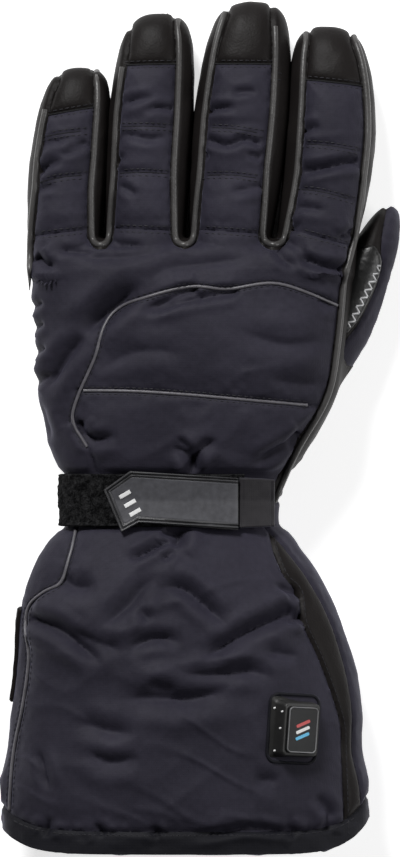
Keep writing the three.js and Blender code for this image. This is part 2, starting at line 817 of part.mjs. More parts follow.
// Cuff: under-arm panel, gusset, little-finger side and back
leftover = leftover.subtract(belowHem(hemBand + seamGap));
const underArm = take((by) => seamSlab(cuffSeamLeft, cuffSeamRight, hemY - hemBand, wristY, by));
addPiece('cuff_palm', underArm, colours.textile, 0.75);
addPiece('cuff_gusset', takePrism(beside(gusset, far)), colours.leather, 0.5);
addPiece('cuff_side', takePrism(beside(cuffCurve, -far)), colours.textile, 0.75);
addPiece('cuff_back', leftover, colours.textile, 0.7);

// Hem binding, a little proud of the cuff on both faces
const binding = bodyLoft(bindProud)
  .subtract(bodyLoft(-cuffWall - bindProud).subtract(floor(palmWall + bindProud)))
  .subtract(floor(0))
  .intersect(belowHem(hemBand))
  .subtract(belowHem(0));
addPiece('hem_binding', binding, colours.textile, 0.85);

// What lies on the glove follows its surface at a clearance
const layer = (from, to) => bodyLoft(to).subtract(bodyLoft(from));
const wrist = bodySection(wristY);
const onWrist = (row) =>
  plan(wrist.x + row.across * wrist.wide, wristY + row.along * strapWidth);
const loopTop = seamGap + strapThick;
const tabBase = loopTop + seamGap;
const strapRegion = (rows) => prism(rows.map(onWrist), 0, strapLow);
const loop = layer(seamGap, loopTop).intersect(strapRegion(loopOutline));
addPiece('loop_strip', loop, colours.loop, 0.95);
const strapEnd = layer(seamGap, tabBase + tabThick / 2).intersect(strapRegion(strapEndOutline));
addPiece('strap_end', strapEnd, colours.textile, 0.6);
const tab = layer(tabBase, tabBase + tabThick).intersect(strapRegion(tabOutline));
addPiece('strap_tab', tab, colours.rubber, 0.45);

// Flat pull tab on the little-finger side of the cuff
const pullY = wristY - pullAlong * cuffLength;
const pullRegion = box(
  corner(-far, pullY - pullLong / 2, pullHeight - pullWide / 2),
  corner(0, pullY + pullLong / 2, pullHeight + pullWide / 2),
);
addPiece('pull_tab', layer(seamGap, seamGap + pullThick).intersect(pullRegion), colours.leather, 0.5);

// Heater switch, square to the cuff where it stands
const switchAt = seamPoint({ across: switchAcross, along: switchAlong }, true);
const switchSlope = Math.atan2(
  bodyTop(switchAt.x - switchWide / 2, switchAt.y) - bodyTop(switchAt.x + switchWide / 2, switchAt.y),
  switchWide,
) + THREE.MathUtils.degToRad(switchLean);

function roundedBox(wide, long, low, high, round) {
  const x = wide / 2 - round;
  const y = long / 2 - round;
  const shape = new THREE.Shape();
  shape.absarc(x, y, round, 0, Math.PI / 2);
  shape.absarc(-x, y, round, Math.PI / 2, Math.PI);
  shape.absarc(-x, -y, round, Math.PI, 1.5 * Math.PI);
  shape.absarc(x, -y, round, 1.5 * Math.PI, 2 * Math.PI);
  const options = { depth: high - low, bevelEnabled: false, curveSegments: 2 };
  const geometry = new THREE.ExtrudeGeometry(shape, options);
  geometry.translate(0, 0, low);
  geometry.rotateY(switchSlope);
  geometry.rotateZ(THREE.MathUtils.degToRad(switchTurn));
  return solidOf(geometry.translate(switchAt.x, switchAt.y, bodyTop(switchAt.x, switchAt.y)));
}
const housing = roundedBox(switchWide, switchLong, -switchHigh, switchHigh, switchRound);
addPiece('switch_housing', housing.subtract(bodyLoft(seamGap)), colours.rubber, 0.6);
const faceBase = switchHigh + seamGap;
const face = roundedBox(
  switchWide - 2 * faceInset,
  switchLong - 2 * faceInset,
  faceBase,
  faceBase + faceProud,
  switchRound,
);
addPiece('switch_face', face, colours.face, 0.35);

export default glove;
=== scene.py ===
import math

import bpy
import numpy as np
from mathutils import Matrix, Vector
from mathutils.bvhtree import BVHTree
from mathutils.kdtree import KDTree


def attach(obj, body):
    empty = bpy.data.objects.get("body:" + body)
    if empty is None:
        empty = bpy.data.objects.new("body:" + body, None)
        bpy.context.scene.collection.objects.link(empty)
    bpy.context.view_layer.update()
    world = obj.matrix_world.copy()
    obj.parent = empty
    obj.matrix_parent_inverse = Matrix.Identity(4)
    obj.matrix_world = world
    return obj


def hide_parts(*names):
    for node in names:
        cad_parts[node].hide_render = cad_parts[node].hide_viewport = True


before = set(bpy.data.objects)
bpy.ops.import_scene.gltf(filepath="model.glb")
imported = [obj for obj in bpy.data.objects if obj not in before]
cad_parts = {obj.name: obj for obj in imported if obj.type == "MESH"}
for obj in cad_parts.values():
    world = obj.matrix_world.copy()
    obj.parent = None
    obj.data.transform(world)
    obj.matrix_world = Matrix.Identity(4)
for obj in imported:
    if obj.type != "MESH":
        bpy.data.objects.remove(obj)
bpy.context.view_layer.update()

print("frame:", len(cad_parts), "CAD pieces")

# Shapes are worked out in millimetres, as the glove lies: +Y to the fingertips, +X to the thumb.
# A pixel of the photograph is 0.4 mm, and the glove's origin is at pixel (190, 330).
metre = 0.001
photo = dict(wide=400, high=857, pixel=0.4, zeroX=190, zeroY=330)


def onPlan(points):
    p = np.array(points, float)
    x = (p[:, 0] - photo["zeroX"]) * photo["pixel"]
    y = (photo["zeroY"] - p[:, 1]) * photo["pixel"]
    return np.stack([x, y], 1)


# Form of the glove: hand, cuff, fingers and thumb

meshing = dict(
    step=1.0,  # between the points of the cloth and leather
    quickStep=1.8,
    snap=0.12,  # a seam that passes this near a point goes through it
    wall=2.2,  # thickness of the panels
    join=2.5,  # softness of the hollow between fingers and hand
    palmEdge=2.2,  # rounding where the palm turns up from the surface
    handEnd=5,  # rounding of the hand's end between the fingers
    thumbJoin=4,  # softness where the thumb leaves the hand
    thumbGap=1,  # rounding of the gap beside the thumb
)
hand = dict(
    crotchY=36, length=104, high=46, sink=4, power=2.5, lift=9,
    wristLeft=51, wristRight=37, wristHigh=42, shift=0.8, fingerGap=3, nose=12,
)
cuff = dict(
    length=140, left=75, right=72, high=60, power=2.3,
    riseLeft=9, riseRight=14, corner=8, band=9, bindProud=0.8, wall=3.5,
)
thumb = dict(
    rootX=30, rootY=-50, reach=49.3, length=99.5, wide=30, high=31,
    crotch=0.42, gap=1.4, overlap=6, joinLow=11, inset=0.5,
)
seamHeights = dict(palm=10, side=18, cuffLeft=16, cuffRight=36)
fingerForm = dict(power=2.25, sink=1.2, flare=0.12, panelEnd=0.94, rim=3.6)
fingers = [
    dict(name="little", root=28.5, wide=31, long=69, high=27, lean=6.5, bow=-1.2,
         cap=17, seamLeft=0.76, seamRight=0.57, knuckle=3, capTilt=0.17, knuckleTilt=0.11),
    dict(name="ring", root=30.5, wide=33.2, long=90.6, high=29, lean=5.6, bow=-1,
         cap=20.4, seamLeft=0.76, seamRight=0.57, knuckle=4, capTilt=0.02, knuckleTilt=-0.04),
    dict(name="middle", root=31.5, wide=37.4, long=95.2, high=30, lean=8.8, bow=-0.2,
         cap=25, seamLeft=0.74, seamRight=0.6, knuckle=3, capTilt=-0.01, knuckleTilt=-0.07),
    dict(name="index", root=31, wide=35.2, long=85.2, high=29, lean=4.2, bow=3.6,
         cap=22, seamLeft=0.64, seamRight=0.78, knuckle=1, capTilt=-0.11, knuckleTilt=-0.27),
]
wristY = hand["crotchY"] - hand["length"]
hemY = wristY - cuff["length"]
handHalf = (sum(f["root"] for f in fingers) + 3 * hand["fingerGap"]) / 2
handLeft = handHalf - hand["shift"]
handRight = handHalf + hand["shift"]
rootEdge = hand["shift"] - handHalf
for f in fingers:
    f["x"] = rootEdge + f["root"] / 2
    rootEdge += f["root"] + hand["fingerGap"]

# Tables of shares, read with a smooth curve through their rows
fingerTaper = dict(
    at=[-0.4, 0, 0.3, 0.55, 0.85, 1],
    wide=[-1.6, 0, 0.8, 1, 1, 0.98],
    high=[1.3, 1.19, 1.06, 1, 0.94, 0.9],
)
fingerEnd = dict(  # by the root of the distance back from the tip, in finger widths
    at=[0, 0.224, 0.424, 0.707, 1.095],
    wide=[0.16, 0.48, 0.71, 0.88, 1],
    high=[0.2, 0.48, 0.7, 0.89, 1],
)
handRows = dict(
    at=[0, 0.1, 0.17, 0.28, 0.42, 0.6, 0.78, 0.9, 1],
    left=[0, 0, 0.22, 0.5, 0.68, 0.7, 0.83, 0.95, 0.98],
    right=[0, 0.1, 0.26, 0.5, 0.74, 0.84, 0.93, 0.97, 0.98],
    high=[0, 0.2, 0.7, 1, 1, 0.8, 0.35, 0, -0.5],
)
handNose = dict(at=[0, 0.35, 1], high=[0.55, 0.9, 1])
cuffRows = dict(
    at=[0, 0.075, 0.13, 0.22, 0.33, 0.47, 0.6, 0.71, 0.82, 1],
    left=[0, 0, 0.28, 0.51, 0.66, 0.68, 0.79, 0.88, 1, 1.01],
    right=[0, 0, 0.16, 0.4, 0.62, 0.8, 0.885, 0.875, 0.97, 1.01],
    high=[0, 0.1, 0.3, 0.55, 0.75, 0.88, 0.95, 0.98, 1, 1],
)
thumbRows = dict(
    at=[0, 0.14, 0.28, 0.4, 0.52, 0.67, 0.8, 0.9, 0.965, 1],
    across=[0, 0.16, 0.3, 0.47, 0.6, 0.735, 0.85, 0.935, 0.985, 1],
    wide=[0.9, 1, 1, 0.95, 0.87, 0.77, 0.63, 0.46, 0.3, 0.12],
    high=[0.8, 0.96, 1, 1, 0.95, 0.88, 0.8, 0.66, 0.43, 0.16],
)
liftRows = dict(at=[-1, 0, 0.5, 1, 1.9], lift=[0, 0.1, 1, 1, 0.2])

# Seams on the back: across is a share of the local half width, along a share of the hand or cuff
arcSeam = dict(
    across=[1.02, 0.74, 0.5, 0.22, -0.02, -0.3, -0.46, -0.56, -0.63, -0.73, -0.785, -0.782,
            -0.745, -0.7, -0.69],
    along=[0.72, 0.79, 0.83, 0.808, 0.817, 0.775, 0.738, 0.672, 0.545, 0.41, 0.33, 0.28, 0.235,
           0.17, 0.09],
)
crossSeam = dict(across=[-0.76, -0.4, 0, 0.45, 1.04], along=[0.42, 0.418, 0.404, 0.382, 0.355])
cuffSeam = dict(
    across=[-0.88, -0.86, -0.77, -0.79, -0.89, -0.965, -0.975, -0.955, -0.955, -0.965, -0.965],
    along=[-0.02, 0.086, 0.18, 0.235, 0.262, 0.3, 0.36, 0.45, 0.58, 0.75, 1.02],
)
gussetSeam = dict(
    across=[0.88, 0.85, 0.77, 0.82, 0.77, 0.81, 0.88, 0.9, 0.86],
    along=[-0.02, 0.1, 0.21, 0.26, 0.35, 0.46, 0.62, 0.72, 1.02],
)
sideSeam = dict(across=[0.93, 0.94, 0.93, 0.91, 0.9], along=[0.85, 0.6, 0.4, 0.2, 0])
thumbSeam = dict(
    at=[1.02, 0.9, 0.82, 0.76, 0.68, 0.6, 0.51, 0.42, 0.33],
    across=[-0.2, 0.15, 0.45, 0.7, 0.75, 0.7, 0.58, 0.3, 0],
)


def column(table, key, at):
    # a table's value at any place, on a smooth curve through its rows
    xs = np.array(table["at"], float)
    ys = np.array(table[key], float)
    slopes = np.empty_like(ys)
    slopes[1:-1] = (ys[2:] - ys[:-2]) / (xs[2:] - xs[:-2])
    slopes[0] = (ys[1] - ys[0]) / (xs[1] - xs[0])
    slopes[-1] = (ys[-1] - ys[-2]) / (xs[-1] - xs[-2])
    t = np.clip(at, xs[0], xs[-1])
    i = np.clip(np.searchsorted(xs, t, side="right") - 1, 0, len(xs) - 2)
    span = xs[i + 1] - xs[i]
    s = (t - xs[i]) / span
    rise = ys[i + 1] - ys[i]
    m0, m1 = slopes[i] * span, slopes[i + 1] * span
    return ys[i] + m0 * s + (3 * rise - 2 * m0 - m1) * s**2 + (m0 + m1 - 2 * rise) * s**3


def blendTo(a, b, t):
    return a + (b - a) * t


def ease(low, high, value):
    t = np.clip((value - low) / (high - low), 0, 1)
    return t * t * (3 - 2 * t)


def raiseAt(x, y):
    # the thumb beneath lifts the index side
    share = column(liftRows, "lift", (y - wristY) / hand["length"])
    return hand["lift"] * share * np.clip((x + handHalf) / (2 * handHalf), 0, 1.2) ** 2


def bodySection(y):
    # place and half sizes of the hand's or the cuff's section
    y = np.asarray(y, float)
    onHand = y >= wristY
    up, down = (y - wristY) / hand["length"], (wristY - y) / cuff["length"]

    def size(key, wristSize, handSize, hemSize):
        top = blendTo(wristSize, handSize, column(handRows, key, up))
        low = blendTo(wristSize, hemSize, column(cuffRows, key, down))
        return np.where(onHand, top, low)

    left = size("left", hand["wristLeft"], handLeft, cuff["left"])
    right = size("right", hand["wristRight"], handRight, cuff["right"])
    half = size("high", hand["wristHigh"], hand["high"], cuff["high"]) / 2
    nose = column(handNose, "high", np.minimum((hand["crotchY"] - y) / hand["nose"], 1))
    power = np.where(onHand, hand["power"], cuff["power"])
    return dict(x=(right - left) / 2, wide=(left + right) / 2, z=half - hand["sink"],
                high=half * nose, power=power)


def fingerSection(f, y):
    y = np.asarray(y, float)
    t = (y - hand["crotchY"]) / f["long"]
    back = np.sqrt(np.maximum(hand["crotchY"] + f["long"] - y, 0) / f["wide"])
    full = f["high"] * column(fingerTaper, "high", t) / 2
    wide = blendTo(f["root"], f["wide"], column(fingerTaper, "wide", t)) / 2
    s = np.maximum(t, 0)
    return dict(x=f["x"] + f["lean"] * s + 4 * f["bow"] * s * (1 - s),
                wide=wide * column(fingerEnd, "wide", back), z=full - fingerForm["sink"],
                high=full * column(fingerEnd, "high", back), power=fingerForm["power"])


def thumbSection(y):
    at = (np.asarray(y, float) - thumb["rootY"]) / thumb["length"]
    return dict(x=thumb["rootX"] + thumb["reach"] * column(thumbRows, "across", at),
                wide=thumb["wide"] * column(thumbRows, "wide", at) / 2,
                z=thumb["high"] / 2 - fingerForm["sink"],
                high=thumb["high"] * column(thumbRows, "high", at) / 2,
                power=fingerForm["power"])


def ringDistance(s, x, z):
    # distance outside a section, below nought within it
    dx, dz = x - s["x"], z - s["z"]
    reach = (np.abs(dx / s["wide"]) ** s["power"] + np.abs(dz / s["high"]) ** s["power"])
    reach = np.maximum(reach ** (1 / s["power"]), 1e-3)
    return np.maximum(np.hypot(dx, dz), 0.01) * (1 - 1 / reach)


def joined(a, b, soft):
    # both forms in one, with a soft hollow where they meet
    h = np.clip(0.5 + 0.5 * (b - a) / soft, 0, 1)
    return b + (a - b) * h - soft * h * (1 - h)


def met(a, b, soft):
    # what two forms share, with a rounded edge
    return -joined(-a, -b, soft)


thumbCrotchY = thumb["rootY"] + thumb["crotch"] * thumb["length"]
thumbTipY = thumb["rootY"] + thumb["length"]


def handField(x, y, z):
    low = z - raiseAt(x, y)
    crotchY = hand["crotchY"]
    body = met(ringDistance(bodySection(y), x, low), y - crotchY, meshing["handEnd"])
    row = np.inf
    for f in fingers:
        finger = ringDistance(fingerSection(f, y), x, low)
        ends = np.maximum(crotchY - 1.2 * hand["nose"] - y, y - crotchY - f["long"])
        row = np.minimum(row, np.maximum(finger, ends))
    whole = joined(body, row, meshing["join"])
    root = ringDistance(thumbSection(y), x, z)
    ends = np.maximum(thumb["rootY"] - y, y - thumbCrotchY + thumb["joinLow"] / 2)
    whole = joined(whole, np.maximum(root, ends), meshing["thumbJoin"])
    whole = met(whole, np.minimum(thumb["gap"] - root, y - thumbCrotchY), meshing["thumbGap"])
    return met(whole, -z, meshing["palmEdge"])


def thumbField(x, y, z):
    inset = thumb["inset"] * (1 - ease(thumbCrotchY - 3, thumbCrotchY + 4, y))
    ring = ringDistance(thumbSection(y), x, z) + inset
    ring = np.maximum(ring, np.maximum(thumbCrotchY - thumb["overlap"] - y, y - thumbTipY))
    return met(ring, -z, meshing["palmEdge"])


# Meshing: a net of points over the form, then seams cut into it

def cornerSteps(faces):
    tail, head = faces, np.roll(faces, -1, 1)
    return np.minimum(tail, head), np.maximum(tail, head)


def edgesOf(faces):
    a, b = cornerSteps(faces)
    return np.unique(np.stack([a.ravel(), b.ravel()], 1), axis=0)


def slopeAt(field, p):
    h = 0.04
    value = field(p[:, 0], p[:, 1], p[:, 2])
    moves = []
    for k in range(3):
        q = p.copy()
        q[:, k] += h
        moves.append((field(q[:, 0], q[:, 1], q[:, 2]) - value) / h)
    return value, np.stack(moves, 1)


def settleOn(field, p, rounds):
    for _ in range(rounds):
        value, slope = slopeAt(field, p)
        move = slope * (value / np.maximum((slope**2).sum(1), 0.1))[:, None]
        size = np.maximum(np.linalg.norm(move, axis=1), 1e-9)
        p = p - move * np.minimum(1, 1.0 / size)[:, None]
    return p


def evened(p, faces, amount):
    # each point moves part of the way to the middle of its neighbours
    pairs = edgesOf(faces)
    a = np.concatenate([pairs[:, 0], pairs[:, 1]])
    b = np.concatenate([pairs[:, 1], pairs[:, 0]])
    count = np.bincount(a, minlength=len(p))
    mean = np.stack([np.bincount(a, p[b, k], len(p)) for k in range(3)], 1)
    return p + amount * (mean / np.maximum(count, 1)[:, None] - p)


def surfaceNet(field, low, high, step):
    # one point in each cell that the surface crosses, and two triangles over each crossed edge
    axes = [np.arange(a, b + step, step) for a, b in zip(low, high)]
    grid = np.empty([len(a) for a in axes], np.float32)
    for j, y in enumerate(axes[1]):
        grid[:, j, :] = field(axes[0][:, None], y, axes[2][None, :])
    inside = grid < 0
    nx, ny, nz = grid.shape
    corners = np.array([(i, j, k) for i in (0, 1) for j in (0, 1) for k in (0, 1)])
    count = np.zeros((nx - 1, ny - 1, nz - 1), np.int8)
    for i, j, k in corners:
        count += inside[i:nx - 1 + i, j:ny - 1 + j, k:nz - 1 + k]
    used = (count > 0) & (count < 8)
    cells = np.argwhere(used)
    number = np.full(used.shape, -1)
    number[used] = np.arange(len(cells))
    total = np.zeros((len(cells), 3))
    crossings = np.zeros(len(cells))
    for a in range(8):
        for b in range(a + 1, 8):
            if np.abs(corners[a] - corners[b]).sum() != 1:
                continue
            va = grid[tuple((cells + corners[a]).T)].astype(float)
            vb = grid[tuple((cells + corners[b]).T)].astype(float)
            cut = (va < 0) != (vb < 0)
            t = np.where(cut, va / np.where(cut, va - vb, 1), 0)[:, None]
            total += np.where(cut[:, None], corners[a] + t * (corners[b] - corners[a]), 0)
            crossings += cut
    points = np.array(low) + step * (cells + total / crossings[:, None])
    quads = []
    for axis in range(3):
        one, two = np.eye(3, dtype=int)[(axis + 1) % 3], np.eye(3, dtype=int)[(axis + 2) % 3]
        along = np.eye(3, dtype=int)[axis]
        here = inside[:nx - along[0], :ny - along[1], :nz - along[2]]
        there = inside[along[0]:, along[1]:, along[2]:]
        g = np.argwhere(here != there)
        g = g[(g[:, (axis + 1) % 3] > 0) & (g[:, (axis + 2) % 3] > 0)]
        g = g[(g < np.array(used.shape)).all(1)]
        ring = [number[tuple((g - d).T)] for d in (0 * one, one, one + two, two)]
        quad = np.stack(ring, 1)
        out = here[tuple(g.T)]
        quads.append(np.where(out[:, None], quad, quad[:, ::-1]))
    quads = np.concatenate(quads)
    points = settleOn(field, points, 3)
    a, b, c, d = (points[quads[:, k]] for k in range(4))
    short = np.linalg.norm(a - c, axis=1) <= np.linalg.norm(b - d, axis=1)
    first = np.where(short[:, None], quads[:, [0, 1, 2]], quads[:, [0, 1, 3]])
    second = np.where(short[:, None], quads[:, [0, 2, 3]], quads[:, [1, 2, 3]])
    faces = np.concatenate([first, second])
    for _ in range(2):
        points = settleOn(field, evened(points, faces, 0.5), 1)
    return dict(points=points, faces=faces, labels=np.zeros(len(faces), int))


def take(shape, label, region):
    # gives a label to the part of the unlabelled faces where region is above nought
    points, faces, labels = shape["points"], shape["faces"], shape["labels"]
    active = labels == 0
    used = np.unique(faces[active])
    values = np.zeros(len(points))
    values[used] = region(points[used])
    values[np.abs(values) < meshing["snap"]] = 0
    count = len(points)
    a, b = cornerSteps(faces)
    keys = a.astype(np.int64) * count + b
    crossing = (values[a] * values[b] < 0) & active[:, None]
    split = np.unique(keys[crossing])
    if len(split):
        i, j = split // count, split % count
        t = (values[i] / (values[i] - values[j]))[:, None]
        points = np.vstack([points, points[i] + (points[j] - points[i]) * t])
        values = np.append(values, np.zeros(len(split)))
        spot = np.clip(np.searchsorted(split, keys), 0, len(split) - 1)
        hit = split[spot] == keys
        new = count + spot
        hits = hit.sum(1)
        rows = np.arange(3)
        single = hits == 1
        turn = (np.argmax(hit[single], 1)[:, None] + rows) % 3
        v = np.take_along_axis(faces[single], turn, 1)
        m = np.take_along_axis(new[single], turn, 1)[:, 0]
        parts = [np.stack([v[:, 0], m, v[:, 2]], 1), np.stack([m, v[:, 1], v[:, 2]], 1)]
        kinds = [labels[single]] * 2
        double = hits == 2
        turn = (np.argmin(hit[double], 1)[:, None] + rows) % 3
        v = np.take_along_axis(faces[double], turn, 1)
        m = np.take_along_axis(new[double], turn, 1)
        parts += [np.stack([v[:, 0], v[:, 1], m[:, 1]], 1), np.stack([v[:, 0], m[:, 1], m[:, 2]], 1),
                  np.stack([m[:, 1], v[:, 2], m[:, 2]], 1)]
        kinds += [labels[double]] * 3
        faces = np.concatenate([faces[hits == 0], *parts])
        labels = np.concatenate([labels[hits == 0], *kinds])
    inside = (labels == 0) & (values[faces].mean(1) > 0)
    labels = np.where(inside, label, labels)
    shape.update(points=points, faces=faces, labels=labels)


def insideOf(outline):
    # distance inside a closed outline in plan, below nought outside it
    ring = np.array(outline, float)
    after = np.roll(ring, -1, 0)

    def region(p):
        x, y = p[:, 0], p[:, 1]
        best = np.full(len(p), np.inf)
        inside = np.zeros(len(p), bool)
        for (ax, ay), (bx, by) in zip(ring, after):
            dx, dy = bx - ax, by - ay
            long = dx * dx + dy * dy
            if long < 1e-12:
                continue
            t = np.clip(((x - ax) * dx + (y - ay) * dy) / long, 0, 1)
            best = np.minimum(best, (x - ax - t * dx) ** 2 + (y - ay - t * dy) ** 2)
            if dy:
                crosses = (ay > y) != (by > y)
                inside ^= crosses & (x < ax + dx * (y - ay) / dy)
        return np.sqrt(best) * np.where(inside, 1, -1)

    return region


def smoothLine(points, each=8):
    # a curve through all the points
    p = np.array(points, float)
    if len(p) < 3:
        return np.array([blendTo(p[0], p[1], t) for t in np.linspace(0, 1, each + 1)])
    ends = np.vstack([2 * p[0] - p[1], p, 2 * p[-1] - p[-2]])
    t = np.linspace(0, 1, each, endpoint=False)[:, None]
    line = []
    for a, b, c, d in zip(ends[:-3], ends[1:-2], ends[2:-1], ends[3:]):
        line.append(b + 0.5 * (c - a) * t + (a - 2.5 * b + 2 * c - 0.5 * d) * t**2
                    + (1.5 * b - 0.5 * a - 1.5 * c + 0.5 * d) * t**3)
    return np.vstack([*line, p[-1:]])


def seamLine(table, onCuff=False, each=6):
    along = np.array(table["along"], float)
    y = wristY - along * cuff["length"] if onCuff else wristY + along * hand["length"]
    s = bodySection(y)
    return smoothLine(np.stack([s["x"] + np.array(table["across"]) * s["wide"], y], 1), each)


far = 400  # beyond the glove's sides
topY = hand["crotchY"] + 110  # beyond the fingertips


def beside(line, x):
    # an outline of all that lies between a line and a station of x
    return [*line, (x, line[-1][1]), (x, line[0][1])]


def hemLine(x):
    left = x < 0
    share = np.abs(x) / np.where(left, cuff["left"], cuff["right"])
    return hemY + np.where(left, cuff["riseLeft"], cuff["riseRight"]) * share ** cuff["corner"]


def panelEdge(f, y, side):
    y = np.asarray(y, float)
    s = fingerSection(f, np.minimum(y, hand["crotchY"] + f["long"] * fingerForm["panelEnd"]))
    spread = fingerForm["flare"] * np.maximum(1 - (y - hand["crotchY"]) / (f["long"] * 0.3), 0)
    return s["x"] + side * s["wide"] * (f["seamLeft" if side < 0 else "seamRight"] + spread)


def tongue(a, b):
    # outline in plan of the leather between two fingers, round at the crotch
    low = hand["crotchY"] + fingerForm["rim"] / 2
    y = np.append(topY, np.linspace(hand["crotchY"] + min(a["long"], b["long"]), low, 16))
    left = np.stack([panelEdge(a, y, 1), y], 1)
    right = np.stack([panelEdge(b, y, -1), y], 1)
    turn = np.linspace(0, math.pi, 14)[1:-1]
    x = blendTo(left[-1][0], right[-1][0], (1 - np.cos(turn)) / 2)
    bend = np.stack([x, low - fingerForm["rim"] * 1.5 * np.sin(turn)], 1)
    return np.vstack([left, bend, right[::-1]])


def fingerBand(f, low, lowTilt, high, highTilt):
    # a finger's own column in plan between two slanting lines
    reach = (f["wide"] + hand["fingerGap"]) / 2
    corners = []
    for y, tilt, sides in ((low, lowTilt, (-1, 1)), (high, highTilt, (1, -1))):
        centre = f["x"] + f["lean"] * (y - hand["crotchY"]) / f["long"]
        corners += [(centre + side * reach, y + side * reach * tilt) for side in sides]
    return corners


labels = ["", "palm", "fourchette_little_ring", "fourchette_ring_middle", "fourchette_middle_index",
          "little_side_strip", "index_side_strip"]
for f in fingers:
    labels += [f["name"] + "_cap", f["name"] + "_back"]
labels += ["hand_back_centre", "hand_back_lower", "hand_back_upper", "offcut", "hem_binding",
           "cuff_palm", "cuff_gusset", "cuff_side", "cuff_back", "thumb_back", "thumb_palm"]
label = {name: i for i, name in enumerate(labels)}


def slab(left, right, low, high):
    # below a seam height that may differ from left to right, between two stations
    def region(p):
        x, y, z = p.T
        height = blendTo(left, right, (x + handHalf) / (2 * handHalf)) + raiseAt(x, y)
        return np.minimum(height - z, np.minimum(y - low, high - y))
    return region


arcLine = seamLine(arcSeam)
crossLine = seamLine(crossSeam)
cuffLine = seamLine(cuffSeam, True)
gussetLine = seamLine(gussetSeam, True)


def cutGlove(shape):
    crotchY = hand["crotchY"]
    take(shape, label["palm"], slab(seamHeights["palm"], seamHeights["palm"], wristY, topY))
    for a, b in zip(fingers, fingers[1:]):
        take(shape, label[f"fourchette_{a['name']}_{b['name']}"], insideOf(tongue(a, b)))
    little, index = fingers[0], fingers[-1]
    y = np.linspace(crotchY, crotchY + little["long"], 14)
    line = [(-handLeft, 10), *np.stack([panelEdge(little, y, -1), y], 1)]
    line.append((line[-1][0], topY))
    take(shape, label["little_side_strip"], insideOf(beside(line, -far)))
    y = np.linspace(crotchY + index["long"], crotchY, 14)
    line = [(panelEdge(index, y[0], 1), topY), *np.stack([panelEdge(index, y, 1), y], 1)]
    line += list(seamLine(sideSeam))
    strip = insideOf(beside(line, far))
    corner = hand["wristRight"] / 2
    lowOutline = insideOf([(corner, wristY), (far, wristY), (far, crotchY),
                           (corner, crotchY - fingerForm["rim"] * 3)])
    lowSide = slab(seamHeights["side"], seamHeights["side"], wristY, crotchY)
    take(shape, label["index_side_strip"],
         lambda p: np.maximum(strip(p), np.minimum(lowOutline(p), lowSide(p))))
    for f in fingers:
        seam = crotchY + f["long"] - f["cap"]
        take(shape, label[f["name"] + "_cap"], insideOf(fingerBand(f, seam, f["capTilt"], topY, 0)))
        take(shape, label[f["name"] + "_back"],
             insideOf(fingerBand(f, crotchY + f["knuckle"], f["knuckleTilt"], topY, 0)))
    crossY = crossLine[0][1]
    above, below = arcLine[arcLine[:, 1] > crossY], arcLine[arcLine[:, 1] <= crossY]
    centre = [*above, *crossLine, (far, crossLine[-1][1]), (far, above[0][1])]
    take(shape, label["hand_back_centre"], insideOf(centre))
    lower = [(far, crossLine[-1][1]), *crossLine[::-1], *below, (below[-1][0], wristY), (far, wristY)]
    take(shape, label["hand_back_lower"], insideOf(lower))
    take(shape, label["hand_back_upper"], lambda p: p[:, 1] - wristY)
    take(shape, label["offcut"], lambda p: hemLine(p[:, 0]) - p[:, 1])
    take(shape, label["hem_binding"], lambda p: hemLine(p[:, 0]) + cuff["band"] - p[:, 1])
    take(shape, label["cuff_palm"],
         slab(seamHeights["cuffLeft"], seamHeights["cuffRight"], -far, wristY))
    take(shape, label["cuff_gusset"], insideOf(beside(gussetLine, far)))
    take(shape, label["cuff_side"], insideOf(beside(cuffLine, -far)))
    take(shape, label["cuff_back"], lambda p: np.ones(len(p)))
    return shape


def onThumb(table):
    y = thumb["rootY"] + np.array(table["at"], float) * thumb["length"]
    s = thumbSection(np.minimum(y, thumbTipY))
    return smoothLine(np.stack([s["x"] + s["wide"] * np.array(table["across"]), y], 1), 6)


def cutThumb(shape):
    outer = insideOf(beside(onThumb(thumbSeam), far))
    take(shape, label["thumb_back"], lambda p: np.minimum(outer(p), p[:, 2] - seamHeights["palm"]))
    take(shape, label["thumb_palm"], lambda p: np.ones(len(p)))
    return shape


step = meshing["step"]
handBox = ((-80, hemY - 4, -2), (80, hand["crotchY"] + 98, 66))
thumbBox = ((40, thumbCrotchY - thumb["overlap"] - 2, -2), (90, 52, 34))
body = surfaceNet(handField, *handBox, step)
print("hand and cuff net:", len(body["points"]), "points")
cutGlove(body)
thumbShape = surfaceNet(thumbField, *thumbBox, step)
cutThumb(thumbShape)
print("panels cut:", len(body["faces"]), "faces, thumb:", len(thumbShape["faces"]))


# Folds of the cloth, read off the photograph: depth and reach in millimetres, route in pixels

def fold(depth, reach, *route, fade=(0.35, 0.35)):
    return dict(depth=depth, reach=reach, route=smoothLine(onPlan(route), 6), fade=fade)


